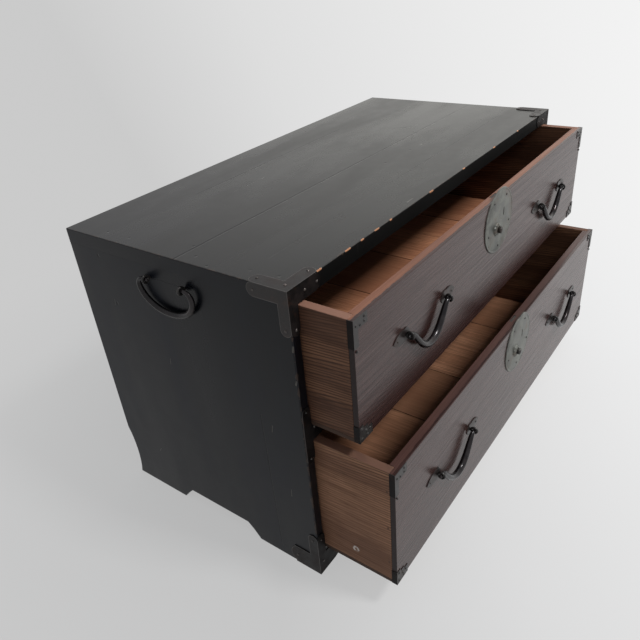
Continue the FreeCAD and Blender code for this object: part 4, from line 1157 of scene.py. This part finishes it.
def studio_floor():
    """Flat floor far beyond the view, darker to the left and paler to the right: painted light, as if it
    were lit from the right.

    Its tone follows s = (x - 0.9 y) / (0.8 + r), where r is the distance from the chest. Near the
    chest it is plain paper that takes the shadow; further out the eye sees the tone by itself.
    """
    cuts = np.array([-60.0, -20.0, -6.0, -2.0, 0.0, 2.0, 6.0, 20.0, 60.0])
    grid = np.zeros((len(cuts), len(cuts), 3))
    grid[..., 0], grid[..., 1] = cuts[:, None], cuts
    index = np.arange(grid.size // 3).reshape(grid.shape[:2])
    quads = np.stack([index[:-1, :-1], index[1:, :-1], index[1:, 1:], index[:-1, 1:]], -1).reshape(-1, 4)
    paper = Finish("studio_paper", Roughness=0.9)
    split = paper.axes()
    reach = paper.vector("LENGTH", paper.place(), "Value")
    share = paper.minus(split[0], paper.times(split[1], 0.9))
    share = paper.sums("DIVIDE", share, paper.plus(reach, 0.8))
    left = paper.add("ShaderNodeMapRange", Value=share, From_Min=-0.25, From_Max=0.10).outputs[0]
    right = paper.add("ShaderNodeMapRange", Value=share, From_Min=0.10, From_Max=0.78).outputs[0]
    tone = paper.blend(left, (0.595, 0.595, 0.595), (0.725, 0.725, 0.725))
    tone = paper.blend(right, tone, (0.895, 0.895, 0.895))
    paper.fill(paper.shader, {"Base_Color": tone})
    path = paper.add("ShaderNodeLightPath").outputs
    seen = paper.sums("MAXIMUM", path["Is Camera Ray"],
                      paper.sums("MAXIMUM", path["Is Glossy Ray"], path["Is Transmission Ray"]))
    glow = paper.add("ShaderNodeEmission", Color=tone, Strength=1.0).outputs[0]
    even = paper.span(reach, 0.4, 1.2, 0.72, 1.0)
    blend = paper.add("ShaderNodeMixShader", _0=paper.times(seen, even), _1=paper.shader.outputs[0],
                      _2=glow)
    paper.tree.links.new(blend.outputs[0], paper.tree.nodes["Material Output"].inputs["Surface"])
    mesh = filled_mesh("studio_floor", grid.reshape(-1, 3), quads)
    mesh.materials.append(paper.material)
    floor = bpy.data.objects.new("studio_floor", mesh)
    bpy.context.scene.collection.objects.link(floor)


def soft_light(name, place, target, size, watts):
    """Square area light aimed at a point."""
    lamp = bpy.data.lights.new(name, "AREA")
    lamp.size, lamp.energy = size, watts
    item = bpy.data.objects.new(name, lamp)
    heading = Matrix.Translation(place).to_translation() - Matrix.Translation(target).to_translation()
    item.matrix_world = Matrix.Translation(place) @ heading.to_track_quat("Z", "Y").to_matrix().to_4x4()
    bpy.context.scene.collection.objects.link(item)


def studio_sky():
    """Pale sky: the eye, lacquer and metal see it grow paler to the right; it lights the chest weakly."""
    world = bpy.data.worlds.new("studio_sky")
    world.use_nodes = True
    bpy.context.scene.world = world
    tree = world.node_tree
    sky = tree.nodes["Background"]
    sky.inputs["Color"].default_value = (0.94, 0.97, 1.0, 1)
    sky.inputs["Strength"].default_value = 0.43
    seen = tree.nodes.new("ShaderNodeBackground")
    seen.inputs["Strength"].default_value = 1.0
    where = tree.nodes.new("ShaderNodeTexCoord").outputs["Generated"]
    toward = tree.nodes.new("ShaderNodeVectorMath")
    toward.operation = "DOT_PRODUCT"
    toward.inputs[1].default_value = (1.0, -0.1, -0.35)
    tree.links.new(where, toward.inputs[0])
    tone = tree.nodes.new("ShaderNodeValToRGB")
    for stop, position, color in zip(tone.color_ramp.elements, (0.30, 0.72),
                                     ((0.575, 0.575, 0.59, 1), (1.0, 0.99, 0.95, 1))):
        stop.position, stop.color = position, color
    tree.links.new(toward.outputs["Value"], tone.inputs[0])
    tree.links.new(tone.outputs[0], seen.inputs["Color"])
    path = tree.nodes.new("ShaderNodeLightPath")
    choose = tree.nodes.new("ShaderNodeMixShader")
    share = path.outputs["Is Camera Ray"]
    for ray in ("Is Glossy Ray", "Is Transmission Ray"):
        either = tree.nodes.new("ShaderNodeMath")
        either.operation = "MAXIMUM"
        tree.links.new(share, either.inputs[0])
        tree.links.new(path.outputs[ray], either.inputs[1])
        share = either.outputs[0]
    tree.links.new(share, choose.inputs[0])
    tree.links.new(sky.outputs[0], choose.inputs[1])
    tree.links.new(seen.outputs[0], choose.inputs[2])
    tree.links.new(choose.outputs[0], tree.nodes["World Output"].inputs["Surface"])


studio_floor()
studio_sky()
soft_light("front_window", (0.25, -2.11, 2.93), (0, -0.2, 0.3), 0.55, 73)
soft_light("right_window", (3.1, -0.6, 2.5), (0, 0, 0.3), 2.7, 12)

camera = bpy.data.cameras.new("camera")
camera.sensor_width, camera.lens = 36, 35.118
viewer = bpy.data.objects.new("camera", camera)
viewer.location = (-0.89921, -0.62863, 0.83862)
viewer.rotation_euler = np.radians((58.534, 4.587, -54.130))
bpy.context.scene.collection.objects.link(viewer)
bpy.context.scene.camera = viewer
bpy.context.scene.view_settings.view_transform = "Standard"
